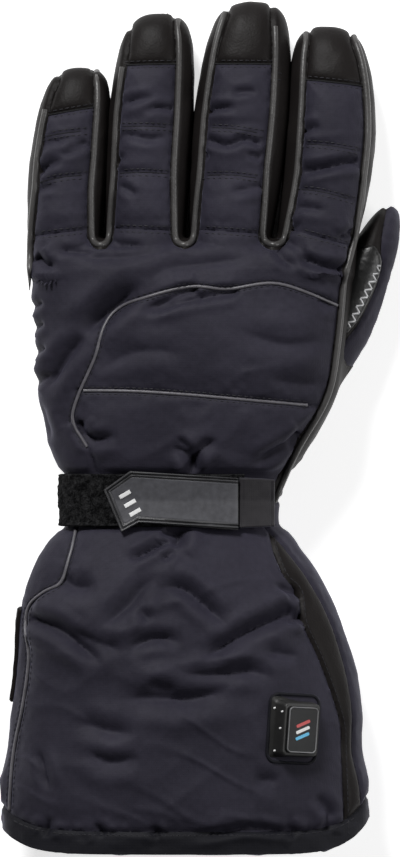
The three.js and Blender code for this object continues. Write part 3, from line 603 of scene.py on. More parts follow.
sharp = (0.02, 0.4)  # a fold that starts at full depth where it meets a seam
sharpEnd = (0.4, 0.02)
fingerFolds = [
    fold(1.2, 1.6, (64, 151), (76, 147), (88, 143), fade=sharpEnd),
    fold(1.7, 1.8, (37, 174), (50, 165), (64, 160), fade=sharp),
    fold(0.9, 1.4, (37, 144), (58, 141), (84, 137)),
    fold(0.8, 1.3, (60, 156), (86, 151)),
    fold(0.9, 1.5, (36, 190), (58, 186)),
    fold(1.2, 1.6, (118, 107), (135, 101), (157, 99)),
    fold(1.1, 1.5, (140, 113), (158, 109), (173, 110), fade=sharpEnd),
    fold(1.3, 1.7, (114, 139), (130, 136), (150, 140), (172, 136)),
    fold(1.0, 1.5, (113, 162), (128, 155), fade=sharp),
    fold(1.1, 1.6, (118, 186), (128, 190), (139, 198)),
    fold(1.0, 1.6, (230, 96), (245, 93), (258, 94)),
    fold(1.5, 1.5, (207, 111), (222, 109), (239, 110), fade=sharp),
    fold(1.5, 1.6, (205, 140), (228, 146), (244, 141), (262, 146), fade=(0.1, 0.1)),
    fold(0.9, 1.5, (203, 154), (211, 160), fade=sharp),
    fold(0.9, 1.4, (245, 155), (261, 159), fade=sharpEnd),
    fold(1.0, 1.7, (228, 194), (245, 191), (263, 186), fade=sharpEnd),
    fold(1.4, 1.7, (302, 132), (312, 129), (322, 129), fade=sharp),
    fold(2.0, 2.0, (296, 174), (325, 169), (345, 164), (359, 162), fade=(0.2, 0.05)),
    fold(0.9, 1.6, (290, 206), (310, 210), (330, 213)),
    fold(1.2, 1.6, (286, 231), (303, 223), fade=sharp),
    fold(1.2, 1.6, (336, 240), (351, 232), fade=sharpEnd),
]
handFolds = [
    fold(2.2, 2.0, (297, 257), (318, 266), (346, 270), fade=(0.2, 0.05)),
    fold(2.2, 2.3, (37, 257), (48, 266), (60, 263), fade=sharp),
    fold(1.3, 1.8, (52, 250), (75, 252), (100, 251)),
    fold(1.1, 1.6, (106, 248), (130, 246), (148, 248)),
    fold(1.0, 2.3, (56, 266), (90, 259), (130, 257), (160, 252), (180, 240)),
    fold(4.0, 4.2, (146, 281), (118, 302), (97, 320), (82, 340), fade=(0.4, 0.3)),
    fold(2.4, 2.8, (90, 330), (66, 358), (42, 397), fade=(0.3, 0.3)),
    fold(1.3, 1.6, (33, 308), (46, 301), fade=sharp),
    fold(1.3, 1.6, (35, 329), (47, 322), fade=sharp),
    fold(1.3, 1.6, (36, 354), (50, 346), fade=sharp),
    fold(1.4, 1.8, (36, 384), (52, 372), fade=sharp),
    fold(1.2, 2.0, (44, 398), (44, 415), (54, 444)),
    fold(1.4, 3.4, (140, 287), (165, 270), (205, 264), (245, 259), (262, 251)),
    fold(2.0, 2.1, (137, 313), (160, 305), (182, 294), (200, 290), fade=(0.4, 0.1)),
    fold(1.5, 1.8, (142, 316), (185, 303), (215, 296), (242, 292), fade=(0.3, 0.1)),
    fold(1.2, 1.9, (275, 248), (284, 261), (299, 268), fade=sharp),
    fold(1.0, 2.0, (315, 299), (336, 308)),
    fold(1.3, 5.0, (262, 379), (295, 384), (328, 385)),
    fold(1.9, 2.3, (170, 445), (190, 456), (197, 472), fade=(0.3, 0.05)),
    fold(1.9, 2.2, (219, 438), (203, 447), (193, 459), (191, 474), fade=(0.3, 0.05)),
    fold(1.1, 1.6, (177, 437), (191, 448)),
    fold(2.0, 2.2, (79, 419), (84, 434), (96, 440), (121, 434), fade=(0.1, 0.4)),
    fold(1.6, 2.2, (247, 467), (272, 450), (300, 433), fade=sharpEnd),
    fold(1.2, 1.8, (287, 452), (302, 428)),
    fold(1.0, 3.4, (230, 330), (285, 345), (330, 340)),
    fold(0.9, 3.0, (95, 372), (140, 352), (190, 356)),
]
cuffFolds = [
    fold(2.8, 3.0, (164, 528), (178, 536), (172, 549), fade=(0.02, 0.3)),
    fold(1.8, 1.8, (127, 562), (150, 550), (170, 541), fade=(0.3, 0.1)),
    fold(1.5, 1.6, (161, 562), (176, 549)),
    fold(2.2, 3.8, (60, 571), (76, 585), (100, 584)),
    fold(1.9, 3.3, (162, 573), (143, 586), (128, 604), (97, 631)),
    fold(2.4, 2.8, (152, 590), (180, 586), (207, 605), (232, 629)),
    fold(1.2, 2.2, (139, 606), (152, 622)),
    fold(2.8, 2.8, (28, 616), (60, 628), (84, 646), (108, 665), fade=(0.1, 0.3)),
    fold(1.9, 3.2, (70, 626), (100, 641), (130, 651)),
    fold(1.9, 2.5, (126, 652), (142, 640), (160, 636), (186, 641)),
    fold(3.0, 2.9, (198, 662), (224, 643), (254, 626), (294, 608), fade=(0.3, 0.05)),
    fold(2.0, 2.8, (173, 663), (190, 672), (225, 671), (250, 669), (278, 677)),
    fold(3.2, 4.4, (115, 698), (150, 695), (180, 696), (215, 690), (242, 675)),
    fold(1.2, 3.0, (146, 682), (180, 687)),
    fold(1.6, 3.4, (73, 715), (105, 727), (140, 731)),
    fold(1.7, 3.3, (86, 744), (108, 759), (145, 753)),
    fold(1.2, 3.0, (250, 777), (280, 777)),
    fold(1.5, 2.2, (314, 790), (334, 816)),
    fold(1.8, 2.2, (272, 583), (302, 592), fade=sharpEnd),
    fold(2.0, 2.0, (283, 624), (303, 613), fade=sharpEnd),
    fold(1.2, 2.6, (262, 650), (300, 655)),
    fold(1.2, 2.0, (40, 745), (52, 790)),
    fold(1.5, 1.6, (188, 833), (225, 827), (250, 823), (290, 829), fade=(0.3, 0.2)),
    fold(1.3, 2.0, (284, 820), (296, 831), fade=sharpEnd),
    fold(1.3, 2.0, (96, 818), (104, 832), fade=sharpEnd),
    fold(1.2, 1.8, (150, 822), (160, 832), fade=sharpEnd),
    fold(1.2, 2.0, (52, 812), (46, 832), fade=sharpEnd),
    fold(1.2, 1.8, (330, 806), (326, 828), fade=sharpEnd),
]

# Sewn rows across the fingers, in pixels
quiltRows = {
    "little": [((34, 139), (60, 134), (88, 131)), ((34, 184), (60, 178), (89, 175))],
    "ring": [((115, 127), (145, 127), (173, 128)), ((112, 174), (145, 173), (175, 175))],
    "middle": [((205, 128), (235, 130), (264, 135)), ((200, 176), (230, 176), (264, 180))],
    "index": [((299, 144), (330, 147), (364, 153)), ((290, 189), (320, 193), (355, 202))],
}
clothRelief = dict(
    seamSink=1.0, seamReach=1.1,  # the groove at every seam
    textilePuff=1.3, puffReach=7.0,  # how the padding swells the cloth between seams
    leatherPuff=0.5, leatherReach=2.6,
    welt=0.3, weltAt=2.4, weltReach=1.6,  # raised edge of the leather between the fingers
    rowSink=0.8, rowReach=0.9, rowPuff=0.6, rowPuffReach=4.0,
    gather=0.5, gatherReach=7,  # fine gathers across the fingers
    swell=1.2,  # broad waves of the cloth
    crease=0.75,  # loose creases
    clearReach=3.0,  # waves and creases fade out this near a seam
    fingerShare=0.35,  # how much of them the narrow finger backs get
    pucker=0.55, puckerReach=4.5,  # short wrinkles that run into the seams
    grain=0.16,  # unevenness of the leather
    foldDepth=1.5,  # how much deeper all the folds are than their tables say
    strapSqueeze=1.0, strapHalf=10.5,  # how far the strap draws the wrist in
    strapFadeIn=1.5, strapFadeOut=3.5,
    hemLump=0.45,
    flatFrom=2.5, flatTo=9, lowest=0.02,  # the side that lies on the surface stays flat
)


def alongRoute(p, route):
    # distance to a route in plan, and how far along it the nearest point lies, from 0 to 1
    best = np.full(len(p), np.inf)
    where = np.zeros(len(p))
    lengths = np.linalg.norm(np.diff(route, axis=0), axis=1)
    start = np.append(0, np.cumsum(lengths))
    for i, (a, b) in enumerate(zip(route[:-1], route[1:])):
        d = b - a
        t = np.clip(((p - a) @ d) / max(d @ d, 1e-9), 0, 1)
        away = np.linalg.norm(p - a - t[:, None] * d, axis=1)
        nearer = away < best
        best = np.where(nearer, away, best)
        where = np.where(nearer, start[i] + t * lengths[i], where)
    return best, where / start[-1]


foldShape = dict(  # widths and places as shares of a fold's reach
    valley=0.8, steepness=1.4, lipAt=2.1, lipWide=1.1, lip=0.34, end=4,
)


def foldRelief(p, folds):
    # each fold is a valley with a soft lip on both sides
    s = foldShape
    total = np.zeros(len(p))
    for f in folds:
        reach = f["reach"]
        low, high = f["route"].min(0) - s["end"] * reach, f["route"].max(0) + s["end"] * reach
        near = ((p > low) & (p < high)).all(1)
        if not near.any():
            continue
        away, t = alongRoute(p[near], f["route"])
        strength = ease(0, f["fade"][0], t) * ease(0, f["fade"][1], 1 - t)
        valley = np.exp(-((away / (s["valley"] * reach)) ** s["steepness"]))
        lip = np.exp(-(((away - s["lipAt"] * reach) / (s["lipWide"] * reach)) ** 2))
        total[near] += f["depth"] * strength * (s["lip"] * lip - valley)
    return total


def lumps(p, size, seed):
    # smooth noise from -1 to 1, the same on every run; size is its grain along X, Y and Z
    table = np.random.default_rng(seed).random((32, 32, 32)) * 2 - 1
    q = p / np.array(size, float) + 100
    i = np.floor(q).astype(int)
    f = q - i
    f = f * f * (3 - 2 * f)
    total = np.zeros(len(p))
    for a in (0, 1):
        for b in (0, 1):
            for c in (0, 1):
                weight = (np.where(a, f[:, 0], 1 - f[:, 0]) * np.where(b, f[:, 1], 1 - f[:, 1])
                          * np.where(c, f[:, 2], 1 - f[:, 2]))
                total += weight * table[(i[:, 0] + a) % 32, (i[:, 1] + b) % 32, (i[:, 2] + c) % 32]
    return total


def turned(p, degrees):
    # the points as seen from axes turned in plan
    a = math.radians(degrees)
    c, s = math.cos(a), math.sin(a)
    return np.stack([c * p[:, 0] + s * p[:, 1], c * p[:, 1] - s * p[:, 0], p[:, 2]], 1)


creaseSets = ((35, (34, 12, 20)), (-28, (30, 11, 20)), (4, (40, 14, 24)))  # direction and grain
creaseBend = dict(by=5, grain=(22, 22, 22))


def creases(p):
    # ridges where bent noise passes nought, in three directions
    bends = [lumps(p, creaseBend["grain"], seed) for seed in (11, 12)]
    bent = p + creaseBend["by"] * np.stack([*bends, 0 * p[:, 0]], 1)
    total = np.zeros(len(p))
    for i, (angle, size) in enumerate(creaseSets):
        n = lumps(turned(bent, angle), size, 20 + i)
        ridge = 1 - np.sqrt(n * n * 5 + 0.02)
        total += np.clip(ridge, 0, 1) ** 2 * ease(-0.2, 0.5, lumps(p, (45, 45, 45), 30 + i))
    return total


def sewnInto(names):
    # numbers of the named panels
    return np.array([i for i, name in enumerate(labels) if name in names])


textilePanels = ["hand_back_centre", "hand_back_lower", "hand_back_upper", "cuff_palm", "cuff_side",
                 "cuff_back", "thumb_back"] + [f["name"] + "_back" for f in fingers]
weltPanels = [name for name in labels if name.startswith("fourchette")]
weltPanels += ["little_side_strip", "index_side_strip"]


def seamPoints(faces, kinds):
    # points on the edges between differently labelled faces
    a, b = cornerSteps(faces)
    keys = (a.astype(np.int64) * (faces.max() + 1) + b).ravel()
    kind = np.repeat(kinds, 3)
    order = np.argsort(keys, kind="stable")
    keys, kind = keys[order], kind[order]
    twin = (keys[1:] == keys[:-1]) & (kind[1:] != kind[:-1])
    edge = np.stack([a.ravel(), b.ravel()], 1)[order][1:][twin]
    return np.unique(edge)


lumpSizes = dict(  # grain along X, Y and Z
    wave=(38, 30, 38), ripple=(26, 13, 30), gather=(15, 2.6, 30), pucker=(2.6, 2.6, 4),
    leather=(4, 6, 5), hem=(7, 3, 6),
)


def nearest(points, targets, reach=30.0):
    # distance from each point to the nearest target, up to reach
    tree = KDTree(len(targets))
    for i, t in enumerate(targets):
        tree.insert(t, i)
    tree.balance()
    return np.array([min(tree.find(p)[2], reach) for p in points])


def vertexNormals(points, faces):
    a, b, c = (points[faces[:, k]] for k in range(3))
    n = np.cross(b - a, c - a)
    total = np.stack([sum(np.bincount(faces[:, j], n[:, k], len(points)) for j in range(3))
                      for k in range(3)], 1)
    return total / np.maximum(np.linalg.norm(total, axis=1), 1e-12)[:, None]


def dressed(shape, field):
    # the cut net with all its padding, seams, folds and creases
    r, grains = clothRelief, lumpSizes
    points, faces, kinds = shape["points"], shape["faces"], shape["labels"]
    keep = kinds != label["offcut"]
    faces, kinds = faces[keep], kinds[keep]
    used, faces = np.unique(faces, return_inverse=True)
    faces = faces.reshape(-1, 3)
    points = points[used]
    normals = slopeAt(field, points)[1]
    normals /= np.linalg.norm(normals, axis=1)[:, None]
    kindAt = np.zeros(len(points), int)
    kindAt[faces.ravel()] = np.repeat(kinds, 3)
    seams = points[seamPoints(faces, kinds)]
    away = nearest(points, seams)
    plan = points[:, :2]
    y = plan[:, 1]
    up = ease(-0.25, 0.35, normals[:, 2])
    textile = np.isin(kindAt, sewnInto(textilePanels))
    welted = np.isin(kindAt, sewnInto(weltPanels))
    hem = kindAt == label["hem_binding"]
    clear = 1 - np.exp(-((away / r["clearReach"]) ** 2))
    strap = 1 - ease(r["strapHalf"] - r["strapFadeIn"], r["strapHalf"] + r["strapFadeOut"],
                     np.abs(y - wristY))
    move = -r["seamSink"] * np.exp(-((away / r["seamReach"]) ** 2))
    puff = np.where(textile, r["textilePuff"] * (1 - np.exp(-((away / r["puffReach"]) ** 2))),
                    r["leatherPuff"] * (1 - np.exp(-((away / r["leatherReach"]) ** 2))))
    move += np.where(hem, 0, puff) * (1 - strap)
    move += np.where(welted, r["welt"] * np.exp(-(((away - r["weltAt"]) / r["weltReach"]) ** 2))
                     * (1 - np.exp(-((away / 0.8) ** 2))), 0)
    relief = r["foldDepth"] * foldRelief(plan, fingerFolds + handFolds + cuffFolds)
    move += np.where(textile | hem, relief * up, 0) * (1 - strap)
    for f in fingers:
        mine = kindAt == label[f["name"] + "_back"]
        rowAway = np.full(mine.sum(), 30.0)
        for row in quiltRows[f["name"]]:
            rowAway = np.minimum(rowAway, alongRoute(plan[mine], smoothLine(onPlan(row), 4))[0])
        low = fingerBand(f, hand["crotchY"] + f["knuckle"], f["knuckleTilt"], topY, 0)
        rowAway = np.minimum(rowAway, np.abs(alongRoute(plan[mine], np.array(low[:2]))[0]))
        quilt = -r["rowSink"] * np.exp(-((rowAway / r["rowReach"]) ** 2))
        quilt += r["rowPuff"] * (1 - np.exp(-((rowAway / r["rowPuffReach"]) ** 2)))
        gathers = lumps(turned(points[mine], 4), grains["gather"], 41)
        gathers *= np.exp(-rowAway / r["gatherReach"])
        move[mine] += (quilt + r["gather"] * gathers) * clear[mine]
    waves = lumps(points, grains["wave"], 51) + 0.6 * lumps(turned(points, 40), grains["ripple"], 52)
    loose = (r["swell"] * waves * 0.5 + r["crease"] * (creases(points) - 0.25)) * clear
    knuckled = np.isin(kindAt, sewnInto([f["name"] + "_back" for f in fingers]))
    move += np.where(textile, loose * np.where(knuckled, r["fingerShare"], 1) * (1 - strap), 0)
    wrinkles = lumps(points, grains["pucker"], 61)
    wrinkles *= np.exp(-away / r["puckerReach"]) * (1 - np.exp(-away))
    move += np.where(textile, r["pucker"] * wrinkles, 0) * (1 - 0.6 * strap)
    move += np.where(textile | hem, 0, r["grain"] * lumps(points, grains["leather"], 71))
    move += np.where(hem, r["hemLump"] * lumps(points, grains["hem"], 72), 0) * np.minimum(away / 2, 1)
    move -= r["strapSqueeze"] * strap
    flat = ease(r["flatFrom"], r["flatTo"], points[:, 2])
    moved = points + normals * (move * np.where(move > 0, flat, 1))[:, None]
    moved[:, 2] = np.maximum(moved[:, 2], r["lowest"])
    return dict(points=moved, faces=faces, labels=kinds, normals=vertexNormals(moved, faces))


glove = dressed(body, handField)
thumbSkin = dressed(thumbShape, thumbField)
print("cloth and leather relief:", len(glove["points"]), "points")


# Finishes: every one is worked out from nodes in the glove's own coordinates

class Finish:
    def __init__(self, name, colour, roughness, **sockets):
        self.material = bpy.data.materials.new(name)
        self.material.use_nodes = True
        self.tree = self.material.node_tree
        self.shader = self.tree.nodes["Principled BSDF"]
        self.shader.inputs["Base Color"].default_value = (*colour, 1)
        self.shader.inputs["Roughness"].default_value = roughness
        for socket, value in sockets.items():
            self.shader.inputs[socket.replace("_", " ")].default_value = value
        self.place = self.add("ShaderNodeTexCoord").outputs["Object"]

    def add(self, kind, links=None, **settings):
        node = self.tree.nodes.new(kind)
        for key, value in settings.items():
            if key in node.inputs:
                node.inputs[key].default_value = value
            else:
                setattr(node, key, value)
        for socket, source in (links or {}).items():
            self.tree.links.new(source, node.inputs[socket])
        return node

    def noise(self, scale, detail=3.0):
        node = self.add("ShaderNodeTexNoise", {"Vector": self.place}, Scale=scale, Detail=detail)
        return node.outputs["Fac"]

    def waves(self, direction, period):
        # twenty radians to each unit of scale, so this is one wave in each period
        node = self.add("ShaderNodeTexWave", {"Vector": self.place}, bands_direction=direction,
                        Scale=2 * math.pi / 20 / period, Distortion=0.6, Detail=1.0)
        node.inputs["Detail Scale"].default_value = 40
        return node.outputs["Fac"]

    def cells(self, scale, feature="F1"):
        node = self.add("ShaderNodeTexVoronoi", {"Vector": self.place}, feature=feature, Scale=scale)
        return node.outputs["Distance"]

    def maths(self, operation, a, b):
        node = self.tree.nodes.new("ShaderNodeMath")
        node.operation = operation
        for i, value in enumerate((a, b)):
            if isinstance(value, (int, float)):
                node.inputs[i].default_value = value
            else:
                self.tree.links.new(value, node.inputs[i])
        return node.outputs[0]

    def tint(self, fac, low, high, start=0.3, end=0.7):
        node = self.add("ShaderNodeValToRGB", {"Fac": fac})
        node.color_ramp.elements[0].position = start
        node.color_ramp.elements[1].position = end
        node.color_ramp.elements[0].color = (*low, 1)
        node.color_ramp.elements[1].color = (*high, 1)
        self.tree.links.new(node.outputs["Color"], self.shader.inputs["Base Color"])

    def gloss(self, fac, low, high):
        node = self.add("ShaderNodeMapRange", {"Value": fac})
        node.inputs["To Min"].default_value = low
        node.inputs["To Max"].default_value = high
        self.tree.links.new(node.outputs[0], self.shader.inputs["Roughness"])

    def bump(self, height, strength, distance):
        before = self.shader.inputs["Normal"].links
        links = {"Height": height}
        if before:
            links["Normal"] = before[0].from_socket
        node = self.add("ShaderNodeBump", links, Strength=strength, Distance=distance)
        self.tree.links.new(node.outputs[0], self.shader.inputs["Normal"])


clothLook = dict(
    roughness=0.7, gloss=(0.6, 0.75), gleam=0.18,
    sheen=0.1, sheenRoughness=0.4, sheenTint=(0.7, 0.7, 1.0, 1),
    cloud=0.7, speck=0.3,  # shares of the broad and the fine mottle in the colour
    upThread=0.6,  # how much the threads that run upright count
)


def clothFinish(name, colour, light, weave=0.0007):
    c = clothLook
    f = Finish(name, colour, c["roughness"], Sheen_Weight=c["sheen"], Sheen_Roughness=c["sheenRoughness"],
               Sheen_Tint=c["sheenTint"], Specular_IOR_Level=c["gleam"])
    cloud = f.maths("MULTIPLY", f.noise(26, 4), c["cloud"])
    f.tint(f.maths("ADD", cloud, f.maths("MULTIPLY", f.noise(420), c["speck"])), colour, light)
    f.gloss(f.noise(60), *c["gloss"])
    threads = f.maths("ADD", f.maths("MULTIPLY", f.waves("X", weave), f.waves("Y", weave)),
                      f.maths("MULTIPLY", f.waves("Z", weave), c["upThread"]))
    f.bump(threads, 0.22, 0.00012)
    f.bump(f.noise(900, 2), 0.2, 0.00015)
    f.bump(f.noise(170, 4), 0.4, 0.0007)
    return f.material


def leatherFinish(name, colour, light, roughness=(0.42, 0.56), gleam=0.1):
    f = Finish(name, colour, 0.5, Specular_IOR_Level=gleam)
    f.tint(f.noise(45, 4), colour, light)
    f.gloss(f.noise(120), *roughness)
    pores = f.cells(1300, "SMOOTH_F1")
    f.bump(f.maths("ADD", pores, f.maths("MULTIPLY", f.cells(560), 0.5)), 0.3, 0.0002)
    f.bump(f.noise(260, 3), 0.25, 0.0004)
    return f.material


finishColours = dict(
    textile=((0.0165, 0.0151, 0.0241), (0.0309, 0.0284, 0.0428)),
    leather=((0.0088, 0.0074, 0.0072), (0.0148, 0.0128, 0.0124)),
    # the welts' rolled leather is painted several times lighter than the goat leather: a painted
    # highlight along the rolled edges
    edge=((0.046, 0.044, 0.043), (0.071, 0.068, 0.067)),
    binding=((0.005, 0.005, 0.0075), (0.010, 0.010, 0.014)),
)
finishes = dict(
    textile=clothFinish("padded nylon", *finishColours["textile"]),
    binding=clothFinish("binding tape", *finishColours["binding"], weave=0.0011),
    leather=leatherFinish("goat leather", *finishColours["leather"]),
    # lighter copy of the goat leather for the welts: painted highlight
    edge=leatherFinish("rolled leather with painted highlight", *finishColours["edge"], roughness=(0.34, 0.46), gleam=0.5),
)

# Panels: each is its share of the net, thickened inwards

slots = {name: "leather" for name in labels[1:]}
slots.update({name: "textile" for name in textilePanels})
slots["hem_binding"] = "binding"
slots.pop("offcut")
stuffing = dict(textile=0.45, leather=0.2, binding=0.2)  # from 0, slack, to 1, tight


def meshObject(name, points, faces, finish, smoothTo=68):
    mesh = bpy.data.meshes.new(name)
    mesh.from_pydata((points * metre).tolist(), [], faces.tolist())
    mesh.shade_smooth()
    mesh.set_sharp_from_angle(angle=math.radians(smoothTo))
    mesh.materials.append(finishes[finish])
    obj = bpy.data.objects.new(name, mesh)
    bpy.context.scene.collection.objects.link(obj)
    return obj


def place(obj, slot, *nodes, fill=None):
    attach(obj, "root")
    if nodes:
        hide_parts(*nodes)


def thickened(points, normals, faces, wall):
    # a closed sheet: the skin, the same skin set in by wall, and rims along its open edges
    used, faces = np.unique(faces, return_inverse=True)
    faces = faces.reshape(-1, 3)
    skin, count = points[used], len(used)
    depth = wall[used][:, None] if hasattr(wall, "__len__") else wall
    inner = skin - normals[used] * depth
    directed = np.concatenate([faces[:, [0, 1]], faces[:, [1, 2]], faces[:, [2, 0]]])
    keys = directed[:, 0] * count + directed[:, 1]
    back = directed[:, 1] * count + directed[:, 0]
    rim = directed[~np.isin(keys, back)]
    a, b = rim[:, 0], rim[:, 1]
    rims = np.concatenate([np.stack([b, a, a + count], 1), np.stack([b, a + count, b + count], 1)])
    return np.vstack([skin, inner]), np.concatenate([faces, faces[:, ::-1] + count, rims])


def makePanels(shape):
    for name, slot in slots.items():
        faces = shape["faces"][shape["labels"] == label[name]]
        if not len(faces):
            continue
        wall = cuff["wall"] + cuff["bindProud"] if name == "hem_binding" else meshing["wall"]
        p, f = thickened(shape["points"], shape["normals"], faces, wall)
        panel = meshObject(name + "_skin", p, f, slot)
        place(panel, slot, name, fill=stuffing[slot])


makePanels(glove)
makePanels(thumbSkin)
print("panels:", len(slots))


# What lies on the skin is set down on it from above

rayStart = 200  # outside the glove on every side
skinPoints = np.vstack([glove["points"], thumbSkin["points"]])
skinFaces = np.vstack([glove["faces"], thumbSkin["faces"] + len(glove["points"])])
skin = BVHTree.FromPolygons(skinPoints.tolist(), skinFaces.tolist())


def castDown(surface, x, y):
    # where a plumb line meets a surface, and its normal there
    hit, normal = surface.ray_cast(Vector((x, y, rayStart)), Vector((0, 0, -1)))[:2]
    return None if hit is None else (np.array(hit), np.array(normal))


def onSkin(x, y):
    return castDown(skin, x, y)


def resampled(line, spacing):
    # evenly spaced points along a line
    line = np.asarray(line, float)
    lengths = np.append(0, np.cumsum(np.linalg.norm(np.diff(line, axis=0), axis=1)))
    count = max(int(lengths[-1] / spacing), 1)
    at = np.linspace(0, lengths[-1], count + 1)
    return np.stack([np.interp(at, lengths, line[:, k]) for k in range(line.shape[1])], 1)


def sidewards(line):
    # steps of one millimetre to the left of a line, in plan
    along = np.gradient(np.asarray(line, float), axis=0)
    along /= np.maximum(np.linalg.norm(along, axis=1), 1e-9)[:, None]
    return np.stack([-along[:, 1], along[:, 0]], 1)


def gathered(parts):
    # one mesh out of many (points, faces)
    points, faces, start = [], [], 0
    for p, f in parts:
        points.append(p)
        faces.append(np.asarray(f) + start)
        start += len(p)
    return np.vstack(points), np.vstack(faces)


def tube(line, radius, sides=10):
    # a round cord through the points of line, with closed ends
    line = np.asarray(line, float)
    along = np.gradient(line, axis=0)
    along /= np.linalg.norm(along, axis=1)[:, None]
    across = np.cross(along, (0, 0, 1.0))
    across /= np.maximum(np.linalg.norm(across, axis=1), 1e-9)[:, None]
    up = np.cross(across, along)
    turn = np.linspace(0, 2 * math.pi, sides, endpoint=False)
    rings = (line[:, None] + radius * (across[:, None] * np.cos(turn)[None, :, None]
                                       + up[:, None] * np.sin(turn)[None, :, None]))
    points = np.vstack([rings.reshape(-1, 3), line[:1], line[-1:]])
    faces = []
    for i in range(len(line) - 1):
        for j in range(sides):
            a, b = i * sides + j, i * sides + (j + 1) % sides
            faces += [(a, a + sides, b), (b, a + sides, b + sides)]
    first, last, end = len(points) - 2, len(points) - 1, (len(line) - 1) * sides
    for j in range(sides):
        k = (j + 1) % sides
        faces += [(first, j, k), (last, end + k, end + j)]
    return points, np.array(faces)


# Piping, half sunk in its seam

piping = dict(
    radius=0.68, rise=0.3, sink=0.2, spacing=1.0,
    arcEnd=0.2, start=5.5, stop=0.3, crossStart=1, hemGap=1.1,  # where each cord begins and ends
)


def pipingPath(line):
    places = [onSkin(x, y) for x, y in resampled(line, piping["spacing"])]
    path = np.array([hit for hit, _ in filter(None, places)])
    height = np.convolve(np.pad(path[:, 2], 3, mode="edge"), np.ones(7) / 7, mode="valid")
    path[:, 2] = np.maximum(height, path[:, 2] - piping["sink"]) + piping["rise"]
    return path


def makePiping():
    arcEndY = wristY + piping["arcEnd"] * hand["length"]
    arc = arcLine[(arcLine[:, 1] > arcEndY) & (arcLine[:, 0] < arcLine[0][0] - piping["start"])]
    side = seamLine(sideSeam)
    crossRight = np.interp(crossLine[-1][1], side[::-1, 1], side[::-1, 0]) - piping["stop"]
    crossLeft = crossLine[0][0] + piping["crossStart"]
    cross = crossLine[(crossLine[:, 0] > crossLeft) & (crossLine[:, 0] < crossRight)]
    top = wristY - clothRelief["strapHalf"]
    low = hemLine(cuffLine[:, 0]) + cuff["band"] + piping["hemGap"]
    under = cuffLine[(cuffLine[:, 1] < top) & (cuffLine[:, 1] > low)]
    for name, line in (("arc_piping", arc), ("cross_piping", cross), ("cuff_piping", under)):
        obj = meshObject(name + "_cord", *tube(pipingPath(line), piping["radius"]), "piping")
        place(obj, "piping", name)
    return arc, cross, under


# Welts: the leather's rolled edge along every finger, and down the side of the index finger

welts = dict(
    radius=1.3, beside=1.15, drop=0.45, spacing=1.2, lowest=6,
    capEnd=4, littleEnd=16, endIn=1.4, fade=11, thinnest=0.15,  # how the two outer welts end
)


def weltPath(line, offset):
    # as high as the seam, but to one side of it, so that it lies on the leather's edge
    seam = resampled(line, welts["spacing"])
    plan = seam + sidewards(seam) * offset
    hits = [(onSkin(*a), b) for a, b in zip(seam, plan)]
    path = np.array([(*b, hit[0][2]) for hit, b in hits if hit and hit[0][2] > welts["lowest"]])
    for _ in range(3):
        path[1:-1] = (path[:-2] + 2 * path[1:-1] + path[2:]) / 4
    path[:, 2] -= welts["drop"]
    return path


def makeWelts():
    little, index = fingers[0], fingers[-1]
    parts = []
    for a, b in zip(fingers, fingers[1:]):
        line = tongue(a, b)[1:-1]
        parts.append(tube(weltPath(line, welts["beside"]), welts["radius"]))
    y = np.linspace(hand["crotchY"] + little["long"] - little["cap"], hand["crotchY"], 24)
    line = np.vstack([np.stack([panelEdge(little, y, -1), y], 1),
                      [(welts["endIn"] - handLeft, welts["littleEnd"])]])
    path = weltPath(line, -welts["beside"])
    fade = np.arange(len(path), 0, -1) * welts["spacing"] / welts["fade"]
    fade = np.clip(fade, welts["thinnest"], 1)
    parts.append(tube(path, welts["radius"] * fade[:, None, None]))
    y = np.linspace(hand["crotchY"] + index["long"] - welts["capEnd"], hand["crotchY"], 24)
    line = np.vstack([np.stack([panelEdge(index, y, 1), y], 1), seamLine(sideSeam)])
    parts.append(tube(weltPath(line, welts["beside"]), welts["radius"]))
    # the welts take the lighter edge finish, a painted highlight along the leather's rolled edge
    place(meshObject("finger_welts", *gathered(parts), "edge"), "leather")


# Stitches: rows of short threads beside the seams

stitching = dict(
    spacing=2.3, long=1.5, radius=0.2, bury=0.06, dip=0.25, beside=1.35,
    steepest=0.12, tallest=1.6,  # no stitch where the skin stands on edge or jumps
    hemFrom=-0.93, hemTo=0.9, hemBeside=1.3,
    shadeCordRadius=0.2, shadeCordDrop=0.05, capShadeCordRadius=0.42,  # near-black cords in the bottom of the sewn rows, painted shade
)


def stitchesAlong(line, offset):
    line = resampled(line, 0.7)
    line = line + sidewards(line) * offset
    marks = resampled(line, stitching["spacing"])
    parts = []
    for a, b in zip(marks[:-1], marks[1:]):
        gap = 1 - stitching["long"] / max(np.linalg.norm(b - a), 1e-6)
        ends = [blendTo(a, b, max(gap, 0) / 2), blendTo(a, b, 0.5), blendTo(b, a, max(gap, 0) / 2)]
        hits = [onSkin(*end) for end in ends]
        if None in hits or min(normal[2] for _, normal in hits) < stitching["steepest"]:
            continue
        spots = np.array([hit + normal * (stitching["radius"] - stitching["bury"])
                          for hit, normal in hits])
        if np.ptp(spots[:, 2]) > stitching["tallest"]:
            continue
        for end in (0, 2):
            spots[end] -= hits[end][1] * stitching["dip"]
        parts.append(tube(spots, stitching["radius"], 5))
    return parts


def seamDepth(line, radius=stitching["shadeCordRadius"]):
    # a thin near-black cord in the bottom of a sewn row, painted shade in its groove
    hits = [onSkin(x, y) for x, y in resampled(line, 0.9)]
    path = np.array([hit for hit, _ in filter(None, hits)])
    path[:, 2] -= stitching["shadeCordDrop"]
    return tube(path, radius, 5)


